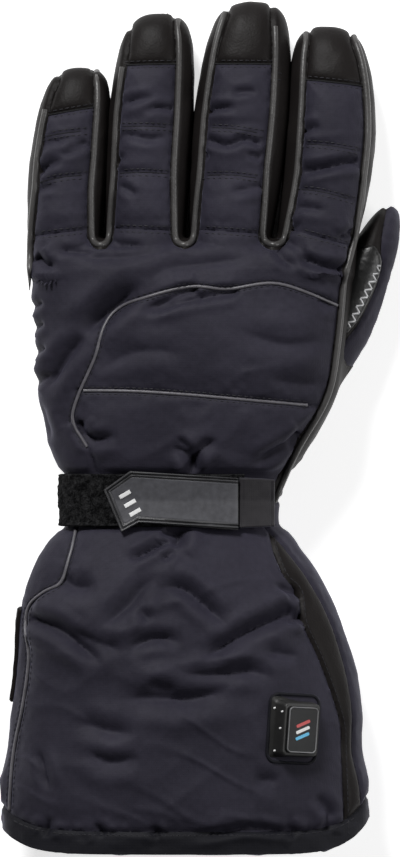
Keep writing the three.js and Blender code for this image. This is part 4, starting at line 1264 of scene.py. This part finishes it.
def makeStitches(arc, cross, under):
    parts, shadeCords = [], []
    besideSeam = stitching["beside"]
    for line in (arc, cross, under):
        parts += stitchesAlong(line, besideSeam) + stitchesAlong(line, -besideSeam)
    parts += stitchesAlong(gussetLine, besideSeam)
    for f in fingers:
        low = fingerBand(f, hand["crotchY"] + f["knuckle"], f["knuckleTilt"], topY, 0)[:2]
        seam = hand["crotchY"] + f["long"] - f["cap"]
        cap = np.array(fingerBand(f, seam, f["capTilt"], topY, 0)[:2])
        parts += stitchesAlong(low, besideSeam) + stitchesAlong(low, -besideSeam)
        parts += stitchesAlong(cap, -besideSeam) + stitchesAlong(cap, besideSeam)
        ends = np.array([panelEdge(f, seam, side) for side in (-1, 1)])
        cap = cap[np.argsort(cap[:, 0])]
        shadeCords.append(seamDepth(np.stack([ends, np.interp(ends, *cap.T)], 1), stitching["capShadeCordRadius"]))
        for row in quiltRows[f["name"]]:
            row = smoothLine(onPlan(row), 4)
            parts += stitchesAlong(row, besideSeam) + stitchesAlong(row, -besideSeam)
            shadeCords.append(seamDepth(row[1:-1]))
    x = np.linspace(stitching["hemFrom"] * cuff["left"], stitching["hemTo"] * cuff["right"], 60)
    hem = np.stack([x, hemLine(x) + cuff["band"]], 1)
    parts += stitchesAlong(hem, -stitching["hemBeside"])
    place(meshObject("stitches", *gathered(parts), "thread"), "piping")
    # near-black cords in the quilt rows and cap seams: painted shade in the grooves
    place(meshObject("seam_painted_shade_cords", *gathered(shadeCords), "shadow"), "textile")
    print("stitches:", len(parts))


# Grip patch on the thumb: a black plate with a row of silver ticks

patchOutline = dict(
    at=[0.49, 0.56, 0.7, 0.77, 0.82, 0.84, 0.8, 0.64, 0.52, 0.49],
    across=[0.35, 0.52, 0.62, 0.55, 0.25, -0.15, -0.7, -0.9, -0.8, 0.35],
)
patch = dict(
    proud=1.1, edge=0.9, lift=0.1, sink=0.3, rib=0.12, ribSpacing=1.6,
    ticksFrom=(382, 262), ticksTo=(349, 326), ticks=17,
    tickLong=2.8, tickRadius=0.41, tickLift=0.05, tickLean=34,
)


def makePatch():
    inside = insideOf(onThumb(patchOutline))
    shape = dict(points=thumbSkin["points"], faces=thumbSkin["faces"],
                 labels=np.zeros(len(thumbSkin["faces"]), int))
    take(shape, 1, lambda p: np.minimum(inside(p), p[:, 2] - thumb["high"] / 2))
    points, normals = shape["points"], vertexNormals(shape["points"], shape["faces"])
    faces = shape["faces"][shape["labels"] == 1]
    depth = np.clip(inside(points) / patch["edge"], 0, 1)
    out = patch["lift"] + patch["proud"] * np.sqrt(1 - (1 - depth) ** 2)
    ribs = patch["rib"] * np.sin(points[:, 1] * 2 * math.pi / patch["ribSpacing"] + points[:, 0])
    raised = points + normals * (out + ribs * depth)[:, None]
    p, f = thickened(raised, normals, faces, out + patch["sink"])
    place(meshObject("thumb_patch_skin", p, f, "grip_patch"), "grip_patch", "thumb_patch")
    start, stop = onPlan([patch["ticksFrom"], patch["ticksTo"]])
    along = (stop - start) / np.linalg.norm(stop - start)
    top = BVHTree.FromPolygons(p.tolist(), f.tolist())
    parts = []
    for i, middle in enumerate(np.linspace(start, stop, patch["ticks"])):
        lean = math.radians(patch["tickLean"] * (1 if i % 2 else -1))
        base = math.atan2(along[1], along[0]) + math.pi / 2 + lean
        reach = 0.5 * patch["tickLong"] * np.array([math.cos(base), math.sin(base)])
        line = []
        for t in np.linspace(-1, 1, 5):
            hit = castDown(top, *(middle + reach * t))
            if hit and hit[0][2] > thumb["high"] / 2:
                line.append(hit[0] + (0, 0, patch["tickLift"]))
        if len(line) > 2:
            parts.append(tube(line, patch["tickRadius"], 6))
    place(meshObject("thumb_patch_ticks", *gathered(parts), "silver"), "grip_patch")


# Strap: plates that wrap the wrist. Their outlines are shares of the wrist's half width and of
# the strap's width, as seen from above.

strap = dict(
    wide=21, leftZ=20, clearance=0.35, edge=0.7,
    loopThick=2.2, loopBase=0.3, fuzz=0.3, fuzzRoom=0.25,
    tabThick=2.4, tabGap=0.35, endThick=3.4, endBase=0.6,
    turnFrom=-0.97, turnTo=-0.85, sideLimit=0.995,  # where the strap turns down the glove's left side
    loop=[(-0.955, 0.47), (-0.92, 0.5), (0.66, 0.5), (0.66, -0.5), (-0.92, -0.5), (-0.955, -0.47)],
    loopEnd=2.2,  # rounding of the loop strip's corners
    tabUnder=8,  # how far the tab's rim would run on under the folded end
    fieldUnder=1.9, fieldInset=2.35, fieldRise=0.12,  # the satin field inside that rim
    foldWave=0.25, seamDepth=0.5, seamReach=0.5, seamIn=(1.6, 2.0),  # the folded end and its two seams
    tab=[(0.6, 0.42), (-0.38, 0.56), (-0.62, 0.2), (-0.46, -0.6), (-0.3, -0.42), (0.6, -0.56)],
    end=[(0.6, 0.44), (0.93, 0.4), (0.93, -0.5), (0.6, -0.53)],
)
tabRim = dict(  # height over the distance from the edge, two ridges and a sunk field
    at=[0, 0.1, 0.3, 0.6, 0.9, 1.15, 1.4, 1.75, 2.1, 2.4],
    high=[0.3, 0.7, 0.95, 1, 0.85, 0.5, 0.82, 0.95, 0.8, 0.7],
)
wrist = {key: float(value) for key, value in bodySection(wristY).items()}


def wristTable():
    # length round the wrist, nought over its middle, against the angle of its section
    angle = np.linspace(0.02, math.pi - 0.001, 900)
    across = np.sign(np.cos(angle)) * np.abs(np.cos(angle)) ** (2 / wrist["power"])
    x = wrist["wide"] * across
    z = wrist["high"] * np.abs(np.sin(angle)) ** (2 / wrist["power"])
    length = np.append(0, np.cumsum(np.hypot(np.diff(x), np.diff(z))))
    middle = np.interp(0, -across, length)
    return across[::-1], (middle - length)[::-1], (wrist["z"] + z)[::-1]


wristAcross, wristLength, wristHeight = wristTable()
leftSide = slice(200)  # these rows of the table climb the left side
leftEnd = float(np.interp(strap["leftZ"], wristHeight[leftSide], wristLength[leftSide]))


def aroundWrist(u, v, out):
    # u round the wrist, v along the glove, out off its surface
    y = wristY + v
    s = bodySection(y)
    across = np.interp(u, wristLength, wristAcross)
    x = wrist["x"] + across * wrist["wide"]
    straight = np.clip((x - s["x"]) / (s["wide"] + out), -strap["sideLimit"], strap["sideLimit"])
    across = blendTo(across, straight, ease(strap["turnFrom"], strap["turnTo"], across))
    high = (1 - np.minimum(np.abs(across), 1) ** wrist["power"]) ** (1 / wrist["power"])
    x = s["x"] + (s["wide"] + out) * across
    return np.stack([x, y, s["z"] + (s["high"] + out) * high + raiseAt(x, y)], -1)


def strapOutline(rows):
    return [(float(np.interp(a, wristAcross, wristLength)), b * strap["wide"]) for a, b in rows]


def plate(outline, top, base, wrap, columns=None, rows=44):
    # a sheet over an outline that has one lower and one upper edge at each u
    ring = np.array(outline, float)
    inside = insideOf(ring)
    low, high = ring[:, 0].min() + 0.02, ring[:, 0].max() - 0.02
    columns = np.linspace(low, high, 90) if columns is None else columns
    after = np.roll(ring, -1, 0)
    share = 0.5 - 0.5 * np.cos(np.linspace(0, math.pi, rows))
    share = blendTo(np.linspace(0, 1, rows), share, 0.75)  # closer together at both edges
    u = np.repeat(columns[:, None], rows, 1)
    v = np.empty_like(u)
    for i, at in enumerate(columns):
        crossing = [blendTo(a[1], b[1], (at - a[0]) / (b[0] - a[0])) for a, b in zip(ring, after)
                    if abs(a[0] - b[0]) > 1e-9 and min(a[0], b[0]) <= at <= max(a[0], b[0])]
        v[i] = blendTo(min(crossing), max(crossing), share)
    flat = np.stack([u.ravel(), v.ravel(), 0 * u.ravel()], 1)
    away = np.maximum(inside(flat), 0)
    upper = wrap(flat[:, 0], flat[:, 1], top(flat[:, 0], flat[:, 1], away))
    lower = wrap(flat[:, 0], flat[:, 1], np.full(len(flat), base))
    n, m = u.shape
    at = np.arange(n * m).reshape(n, m)
    a, b = at[:-1, :-1].ravel(), at[1:, :-1].ravel()
    c, d = at[1:, 1:].ravel(), at[:-1, 1:].ravel()
    sheet = np.concatenate([np.stack([a, b, c], 1), np.stack([a, c, d], 1)])
    rim = np.concatenate([at[:, 0], at[-1, 1:], at[-2::-1, -1], at[0, -2:0:-1]])
    around = np.roll(rim, -1)
    k = n * m
    walls = [np.stack([rim, rim + k, around], 1), np.stack([around, rim + k, around + k], 1)]
    return np.vstack([upper, lower]), np.concatenate([sheet, sheet[:, ::-1] + k, *walls])


def rounded(radius):
    # share of the full height at a distance from the edge, whose rounding is this wide
    return lambda away: np.sqrt(np.maximum(1 - (1 - np.minimum(away / radius, 1)) ** 2, 0))


def makeLoopStrip():
    s = strap
    edge = rounded(s["edge"])
    half, turn = s["wide"] / 2, s["loopEnd"]
    outline = strapOutline(s["loop"])
    left = leftEnd + 0.2
    outline[:2] = [(left, half - turn), (leftEnd + turn, half)]
    outline[-2:] = [(leftEnd + turn, -half), (left, turn - half)]

    def pile(u, v, away):
        p = np.stack([u, v, 0 * u], 1)
        fuzz = lumps(p, (0.9, 0.9, 1), 81) + 0.6 * lumps(p, (2.4, 2.4, 1), 82)
        thick = s["loopThick"] - s["loopBase"] - s["fuzzRoom"] + s["fuzz"] * fuzz
        return s["clearance"] + s["loopBase"] + thick * edge(away)

    columns = np.arange(outline[0][0] + 0.02, outline[2][0], 0.55)
    p, f = plate(outline, pile, s["clearance"], aroundWrist, columns, 48)
    place(meshObject("loop_strip_pile", p, f, "loop_pile"), "loop_pile", "loop_strip")


def runOn(outline, by):
    # the tab's outline with its covered end moved further under the folded end
    return [(u + (by if i in (0, 5) else 0), v) for i, (u, v) in enumerate(outline)]


def insetOutline(outline, by):
    # moved inwards by the same distance all round; the outline runs anticlockwise
    ring = np.array(outline, float)
    along = np.roll(ring, -1, 0) - ring
    along /= np.linalg.norm(along, axis=1)[:, None]
    after = np.stack([-along[:, 1], along[:, 0]], 1)
    before = np.roll(after, 1, 0)
    return ring + (before + after) * by / (1 + (before * after).sum(1))[:, None]


def makeStrapTab():
    s = strap
    base = s["clearance"] + s["loopThick"] + s["tabGap"]
    outline = strapOutline(s["tab"])
    left, bend, right = outline[2][0], outline[4][0], outline[0][0]
    fine, coarse = 0.28, 0.9  # steps between columns, at the tab's two ends and between those
    columns = np.concatenate([np.arange(left + 0.05, bend + 2.5, fine),
                              np.arange(bend + 2.5, right - 3, coarse),
                              np.arange(right - 3, right - 0.02, fine)])
    longer = insideOf(runOn(outline, s["tabUnder"]))

    def rubber(u, v, away):
        return base + s["tabThick"] * np.interp(longer(np.stack([u, v], 1)), tabRim["at"], tabRim["high"])

    p, f = plate(outline, rubber, base, aroundWrist, columns, 60)
    place(meshObject("strap_tab_rubber", p, f, "strap_rubber"), "strap_rubber", "strap_tab")
    top = base + s["tabThick"] * tabRim["high"][-1]
    inner = insetOutline(runOn(outline, s["fieldUnder"]), s["fieldInset"])
    edge = rounded(0.3)
    columns = np.linspace(inner[:, 0].min() + 0.05, inner[:, 0].max() - 0.02, 70)
    p, f = plate(inner, lambda u, v, away: top + s["fieldRise"] * edge(away), top - 0.2,
                 aroundWrist, columns, 26)
    place(meshObject("strap_tab_field", p, f, "satin_rubber"), "strap_rubber")
    makeTabBars(top)


def makeStrapEnd():
    s = strap
    edge = rounded(s["edge"])
    outline = strapOutline(s["end"])
    seams = (outline[0][0] + s["seamIn"][0], outline[1][0] - s["seamIn"][1])

    def folded(u, v, away):
        wave = s["foldWave"] * lumps(np.stack([u, v, 0 * u], 1), (5, 4, 1), 83)
        groove = s["seamDepth"] * sum(np.exp(-(((u - at) / s["seamReach"]) ** 2)) for at in seams)
        thick = s["endThick"] - s["endBase"] + wave - groove
        return s["clearance"] + s["endBase"] + thick * edge(away)

    columns = np.arange(outline[0][0] + 0.02, outline[1][0], 0.4)
    p, f = plate(outline, folded, s["clearance"], aroundWrist, columns, 50)
    place(meshObject("strap_end_fold", p, f, "strap_cloth"), "textile", "strap_end")


tabBars = dict(  # place, spacing and size in pixels
    middle=(130.5, 503), spacing=10.2, long=12.5, wide=4.2, turn=-60, count=3,
    lift=0.12, rise=0.32, under=0.1,  # in millimetres
)


def makeTabBars(top):
    # plain raised bars
    t = tabBars
    turn = math.radians(t["turn"])
    along = np.array([math.cos(turn), math.sin(turn)])
    across = np.array([-math.sin(turn), math.cos(turn)])
    edge = rounded(0.3)
    middle = onPlan([t["middle"]])[0]
    parts = []
    for i in range(t["count"]):
        centre = middle + along * (i - (t["count"] - 1) / 2) * t["spacing"] * photo["pixel"]
        one = across * t["long"] * photo["pixel"] / 2
        two = along * t["wide"] * photo["pixel"] / 2
        corners = [centre - one - two, centre + one - two, centre + one + two, centre - one + two]
        ring = []
        for x, y in corners:
            share = (x - wrist["x"]) / wrist["wide"]
            ring.append((float(np.interp(share, wristAcross, wristLength)), y - wristY))
        parts.append(plate(ring, lambda u, v, away: top + t["lift"] + t["rise"] * edge(away),
                           top - t["under"], aroundWrist, None, 14))
    place(meshObject("strap_tab_bars", *gathered(parts), "white"), "strap_rubber")


# Pull tab on the little-finger side of the cuff

pull = dict(long=38, wide=14, thick=1.4, edge=0.4, height=20, along=0.44, off=0.25, corner=1)


def makePullTab():
    middleY = wristY - pull["along"] * cuff["length"]

    def onSide(u, v, out):
        # u along the glove, v up its side
        y, z = middleY + u, pull["height"] + v
        starts = [Vector((-rayStart, b, c)) for b, c in zip(y, z)]
        x = np.array([skin.ray_cast(start, Vector((1, 0, 0)))[0][0] for start in starts])
        return np.stack([x - pull["off"] - out, y, z], -1)

    half, tall, cut = pull["long"] / 2, pull["wide"] / 2, pull["corner"]
    ring = [(-half, -tall + cut), (-half + cut, -tall), (half - cut, -tall), (half, -tall + cut),
            (half, tall - cut), (half - cut, tall), (-half + cut, tall), (-half, tall - cut)]
    low, edge = pull["edge"], rounded(0.5)
    p, f = plate(ring, lambda u, v, away: low + (pull["thick"] - low) * edge(away), 0.0, onSide,
                 np.linspace(-half + 0.02, half - 0.02, 50), 22)
    place(meshObject("pull_tab_leather", p, f[:, ::-1], "leather"), "leather", "pull_tab")


# Heater switch: a rubber block that leans outwards, with a gloss face

switch = dict(
    wide=16, long=21, high=7, round=1.8, turn=-4, lean=12, across=0.61, along=0.645,
    recess=3.0, recessRound=2, recessRadius=0.75,  # a near-black cord round the housing, painted shade of its recess
    inset=1.2, proud=0.8, faceFrom=0.3, faceLip=0.35,
    faceEdge=((0.1, 0.12), (0, 0.4)),  # down from the top, and in from the side
    outlineIn=0.475, outlineRound=0.2, outlineRadius=0.27,
)
switchWall = dict(  # half sizes added at each height, from the flange to the rim
    at=[-6, -1.5, -0.6, 0.2, 0.9, 5.6, 6.5, 6.9, 7.0],
    add=[2.3, 2.3, 2.1, 1.0, 0.5, 0.05, -0.1, -0.35, -0.8],
)
levelBars = dict(long=6.4, wide=1.25, rise=0.16, round=0.5, sink=0.04, slant=24, spacing=2.5)


def topAt(x, y):
    # height of the bare form, without its padding
    s = bodySection(y)
    across = np.minimum(np.abs((x - s["x"]) / s["wide"]), 1)
    return float(s["z"] + s["high"] * (1 - across ** s["power"]) ** (1 / s["power"]) + raiseAt(x, y))


def switchFrame():
    # the switch's turn and place: it lies on the cuff and leans a little more than it
    y = wristY - switch["along"] * cuff["length"]
    s = bodySection(y)
    x = float(s["x"] + switch["across"] * s["wide"])
    fall = topAt(x - switch["wide"] / 2, y) - topAt(x + switch["wide"] / 2, y)
    slope = math.atan2(fall, switch["wide"]) + math.radians(switch["lean"])
    turn = math.radians(switch["turn"])
    spin = Matrix.Rotation(turn, 3, "Z") @ Matrix.Rotation(slope, 3, "Y")
    return np.array(spin), np.array([x, y, topAt(x, y)])


switchTurn, switchAt = switchFrame()


def onSwitch(points):
    return np.asarray(points, float) @ switchTurn.T + switchAt


def roundedRing(halfWide, halfLong, corner, each=9):
    # a rectangle with round corners, of so many points each
    ring = []
    for i, (sx, sy) in enumerate(((1, 1), (-1, 1), (-1, -1), (1, -1))):
        for t in np.linspace(0, math.pi / 2, each):
            a = t + i * math.pi / 2
            ring.append((sx * (halfWide - corner) + corner * math.cos(a),
                         sy * (halfLong - corner) + corner * math.sin(a)))
    return np.array(ring)


def block(levels, corner):
    # rings from low to high, closed at both ends; each level is (height, half width, half length)
    rings = []
    for high, wide, long in levels:
        ring = roundedRing(wide, long, corner)
        rings.append(np.column_stack([ring, np.full(len(ring), high)]))
    count = len(rings[0])
    points = np.vstack([*rings, rings[0].mean(0)[None], rings[-1].mean(0)[None]])
    faces = []
    for i in range(len(rings) - 1):
        for j in range(count):
            k = (j + 1) % count
            a, b = i * count + j, i * count + k
            faces += [(a, b, b + count), (a, b + count, a + count)]
    low, top, last = len(points) - 2, len(points) - 1, (len(rings) - 1) * count
    for j in range(count):
        k = (j + 1) % count
        faces += [(low, k, j), (top, last + j, last + k)]
    return points, np.array(faces)


def closed(ring, height):
    # the ring at one height, with its first point again at the end
    line = np.column_stack([ring, np.full(len(ring), height)])
    return np.vstack([line, line[:1]])


def makeHousing():
    wide, long, corner = switch["wide"] / 2, switch["long"] / 2, switch["round"]
    levels = [(at, wide + add, long + add) for at, add in zip(switchWall["at"], switchWall["add"])]
    p, f = block(levels, corner)
    p = onSwitch(p)
    housing = meshObject("switch_housing_block", p, f, "switch_rubber", smoothTo=40)
    place(housing, "switch_rubber", "switch_housing")
    rim = roundedRing(wide + switch["recess"], long + switch["recess"], corner + switch["recessRound"])
    path = np.array([onSkin(x, y)[0] for x, y, _ in resampled(onSwitch(closed(rim, 0)), 0.8)])
    # the cord takes the near-black binding finish as painted shade round the housing
    place(meshObject("switch_recess_painted_shade", *tube(path, switch["recessRadius"], 8), "binding"), "binding")
    return BVHTree.FromPolygons(p.tolist(), f.tolist())


def makeSwitchFace():
    s = switch
    wide, long = s["wide"] / 2 - s["inset"], s["long"] / 2 - s["inset"]
    low, top = s["high"] - s["faceFrom"], s["high"] + s["faceLip"] + s["proud"]
    levels = [(low, wide, long), (top - s["faceLip"], wide, long)]
    levels += [(top - down, wide - by, long - by) for down, by in s["faceEdge"]]
    p, f = block(levels, s["round"])
    face = meshObject("switch_face_gloss", onSwitch(p), f, "switch_face", smoothTo=12)
    place(face, "switch_face", "switch_face")
    ring = roundedRing(wide - s["outlineIn"], long - s["outlineIn"], s["round"] - s["outlineRound"])
    p, f = tube(resampled(closed(ring, top + 0.02), 0.6), s["outlineRadius"], 6)
    place(meshObject("switch_face_outline", onSwitch(p), f, "outline"), "switch_face")
    makeLevelBars(top)


def makeLevelBars(top):
    b = levelBars
    slant = math.radians(b["slant"])
    spin = np.array([[math.cos(slant), -math.sin(slant)], [math.sin(slant), math.cos(slant)]])
    levels = [(high, b["long"] / 2, b["wide"] / 2) for high in (0, b["rise"])]
    for i, finish in enumerate(("red", "white", "blue")):
        p, f = block(levels, b["round"])
        p[:, :2] = p[:, :2] @ spin.T + (0, (1 - i) * b["spacing"])
        p[:, 2] += top - b["sink"]
        place(meshObject("switch_bar_" + finish, onSwitch(p), f, finish), "switch_face")


# White bar tacks on the rim of the switch, at these pixels

tacks = dict(
    at=[(274, 705), (281.5, 708), (279.5, 724.5), (274, 747)],
    radius=0.42, lift=0.1, half=(0.35, 0.1, 0), arch=(0, 0, 0.1),
)


def makeTacks(housing):
    parts = []
    half, arch = np.array(tacks["half"]), np.array(tacks["arch"])
    for x, y in onPlan(tacks["at"]):
        hit, normal = castDown(housing, x, y) or onSkin(x, y)
        centre = hit + normal * tacks["lift"]
        parts.append(tube([centre - half, centre + arch, centre + half], tacks["radius"], 8))
    place(meshObject("switch_tacks", *gathered(parts), "white"), "piping")


def plainFinish(name, colour, roughness, grain=400, strength=0.12, depth=0.0001, tone=0.2, **sockets):
    f = Finish(name, colour, roughness, **sockets)
    low = tuple(c * (1 - tone) for c in colour)
    f.tint(f.noise(grain / 4, 3), low, tuple(c * (1 + tone) for c in colour))
    f.gloss(f.noise(grain / 3), max(roughness - 0.06, 0.02), roughness + 0.06)
    f.bump(f.noise(grain, 3), strength, depth)
    return f.material


def pileFinish():
    f = Finish("loop pile", (0.006, 0.006, 0.007), 1.0, Specular_IOR_Level=0.1)
    tufts = f.maths("MULTIPLY", f.noise(1500, 2), 0.5)
    tufts = f.maths("ADD", tufts, f.maths("MULTIPLY", f.noise(420, 2), 0.5))
    f.tint(tufts, (0.0015, 0.0015, 0.0018), (0.024, 0.024, 0.025), 0.42, 0.66)
    f.bump(f.noise(1100, 2), 0.9, 0.0006)
    return f.material


def makeFinishes():
    finishes.update(
        piping=plainFinish("piping cord", (0.105, 0.1, 0.112), 0.42, 1500, 0.3),
        thread=plainFinish("thread", (0.008, 0.0075, 0.012), 0.7, 2500, 0.3),
        # near-black finish for the cords in the seams: painted shade
        shadow=plainFinish("painted seam shade", (0.002, 0.002, 0.003), 0.9, 2500, 0.1),
        strap_cloth=clothFinish("strap webbing", (0.020, 0.019, 0.021), (0.034, 0.032, 0.035), 0.0009),
        grip_patch=plainFinish("grip rubber", (0.006, 0.006, 0.006), 0.38, 1200, 0.4, 0.0002),
        silver=plainFinish("silver ink", (0.5, 0.5, 0.51), 0.35, 900, 0.2, Metallic=0.4),
        loop_pile=pileFinish(),
        strap_rubber=plainFinish("moulded rubber", (0.05, 0.05, 0.053), 0.4, 700, 0.1),
        satin_rubber=plainFinish("satin rubber", (0.062, 0.062, 0.07), 0.5, 1800, 0.25),
        switch_rubber=plainFinish("switch rubber", (0.014, 0.014, 0.0135), 0.5, 900, 0.2),
        switch_face=plainFinish("gloss face", (0.012, 0.0125, 0.013), 0.22, 200, 0.02,
                                Specular_IOR_Level=0.12),
        outline=plainFinish("grey outline", (0.16, 0.16, 0.165), 0.4),
        white=plainFinish("white rubber", (0.82, 0.82, 0.82), 0.45, tone=0.03),
        red=plainFinish("red ink", (0.55, 0.05, 0.05), 0.35, tone=0.08),
        blue=plainFinish("blue ink", (0.08, 0.45, 0.72), 0.35, tone=0.08),
    )


makeFinishes()
seamsWithPiping = makePiping()
makeWelts()
makeStitches(*seamsWithPiping)
makePatch()
makeLoopStrip()
makeStrapTab()
makeStrapEnd()
makePullTab()
switchHousing = makeHousing()
makeSwitchFace()
makeTacks(switchHousing)
print("details set on the skin")


# Camera over the glove, as in the photograph, and a pale studio, with its places and sizes in
# metres. The floor glows, except in a strip below the hand, where its light would come up through
# the gaps between the fingers.

studio = dict(
    cameraHeight=3.0, focusHeight=0.022,
    sensor=36.0,  # in millimetres
    floor=(0.86, 0.86, 0.86), floorGlow=0.66, floorHalf=3.0, world=(1.0, 1.0, 1.0), worldStrength=0.05,
    darkHalf=0.05, darkFrom=0.02, darkTo=0.075,
    keySize=0.6, keyPower=35, keyAt=(-0.55, 1.4, 1.25),
    fillSize=0.8, fillPower=8, fillAt=(1.1, 0.0, 1.0),
)


def areaLight(name, at, size, power):
    data = bpy.data.lights.new(name, "AREA")
    data.shape = "DISK"
    data.size = size
    data.energy = power
    obj = bpy.data.objects.new(name, data)
    obj.location = at
    obj.rotation_euler = (-Vector(at)).to_track_quat("-Z", "Y").to_euler()
    bpy.context.scene.collection.objects.link(obj)


def setCamera():
    s = studio
    data = bpy.data.cameras.new("camera")
    camera = bpy.data.objects.new("camera", data)
    middle = onPlan([(photo["wide"] / 2, photo["high"] / 2)])[0] * metre
    camera.location = (*middle, s["cameraHeight"])
    data.sensor_width = s["sensor"]
    frameHigh = photo["high"] * photo["pixel"] * metre
    data.lens = s["sensor"] * (s["cameraHeight"] - s["focusHeight"]) / frameHigh
    bpy.context.scene.collection.objects.link(camera)
    bpy.context.scene.camera = camera


def setLights():
    s = studio
    world = bpy.data.worlds.new("studio")
    bpy.context.scene.world = world
    world.use_nodes = True
    world.node_tree.nodes["Background"].inputs["Color"].default_value = (*s["world"], 1)
    world.node_tree.nodes["Background"].inputs["Strength"].default_value = s["worldStrength"]
    areaLight("key", s["keyAt"], s["keySize"], s["keyPower"])
    areaLight("fill", s["fillAt"], s["fillSize"], s["fillPower"])
    bpy.context.scene.view_settings.view_transform = "Standard"


def makeFloor():
    s = studio
    mesh = bpy.data.meshes.new("floor")
    half = s["floorHalf"]
    mesh.from_pydata([(-half, -half, 0), (half, -half, 0), (half, half, 0), (-half, half, 0)],
                     [], [(0, 1, 2, 3)])
    floor = bpy.data.objects.new("floor", mesh)
    paper = Finish("paper", s["floor"], 0.9, Emission_Color=(1, 1, 1, 1),
                   Emission_Strength=s["floorGlow"])
    paper.tint(paper.noise(3), s["floor"], tuple(c * 1.02 for c in s["floor"]))
    apart = paper.add("ShaderNodeSeparateXYZ", {"Vector": paper.place})
    across = paper.maths("LESS_THAN", paper.maths("ABSOLUTE", apart.outputs["X"], 0), s["darkHalf"])
    below = paper.maths("LESS_THAN", apart.outputs["Y"], s["darkTo"])
    above = paper.maths("GREATER_THAN", apart.outputs["Y"], s["darkFrom"])
    strip = paper.maths("MULTIPLY", across, paper.maths("MULTIPLY", below, above))
    glow = paper.maths("MULTIPLY", paper.maths("SUBTRACT", 1, strip), s["floorGlow"])
    paper.tree.links.new(glow, paper.shader.inputs["Emission Strength"])
    mesh.materials.append(paper.material)
    bpy.context.scene.collection.objects.link(floor)


setCamera()
setLights()
makeFloor()
print("camera, lights and floor set")
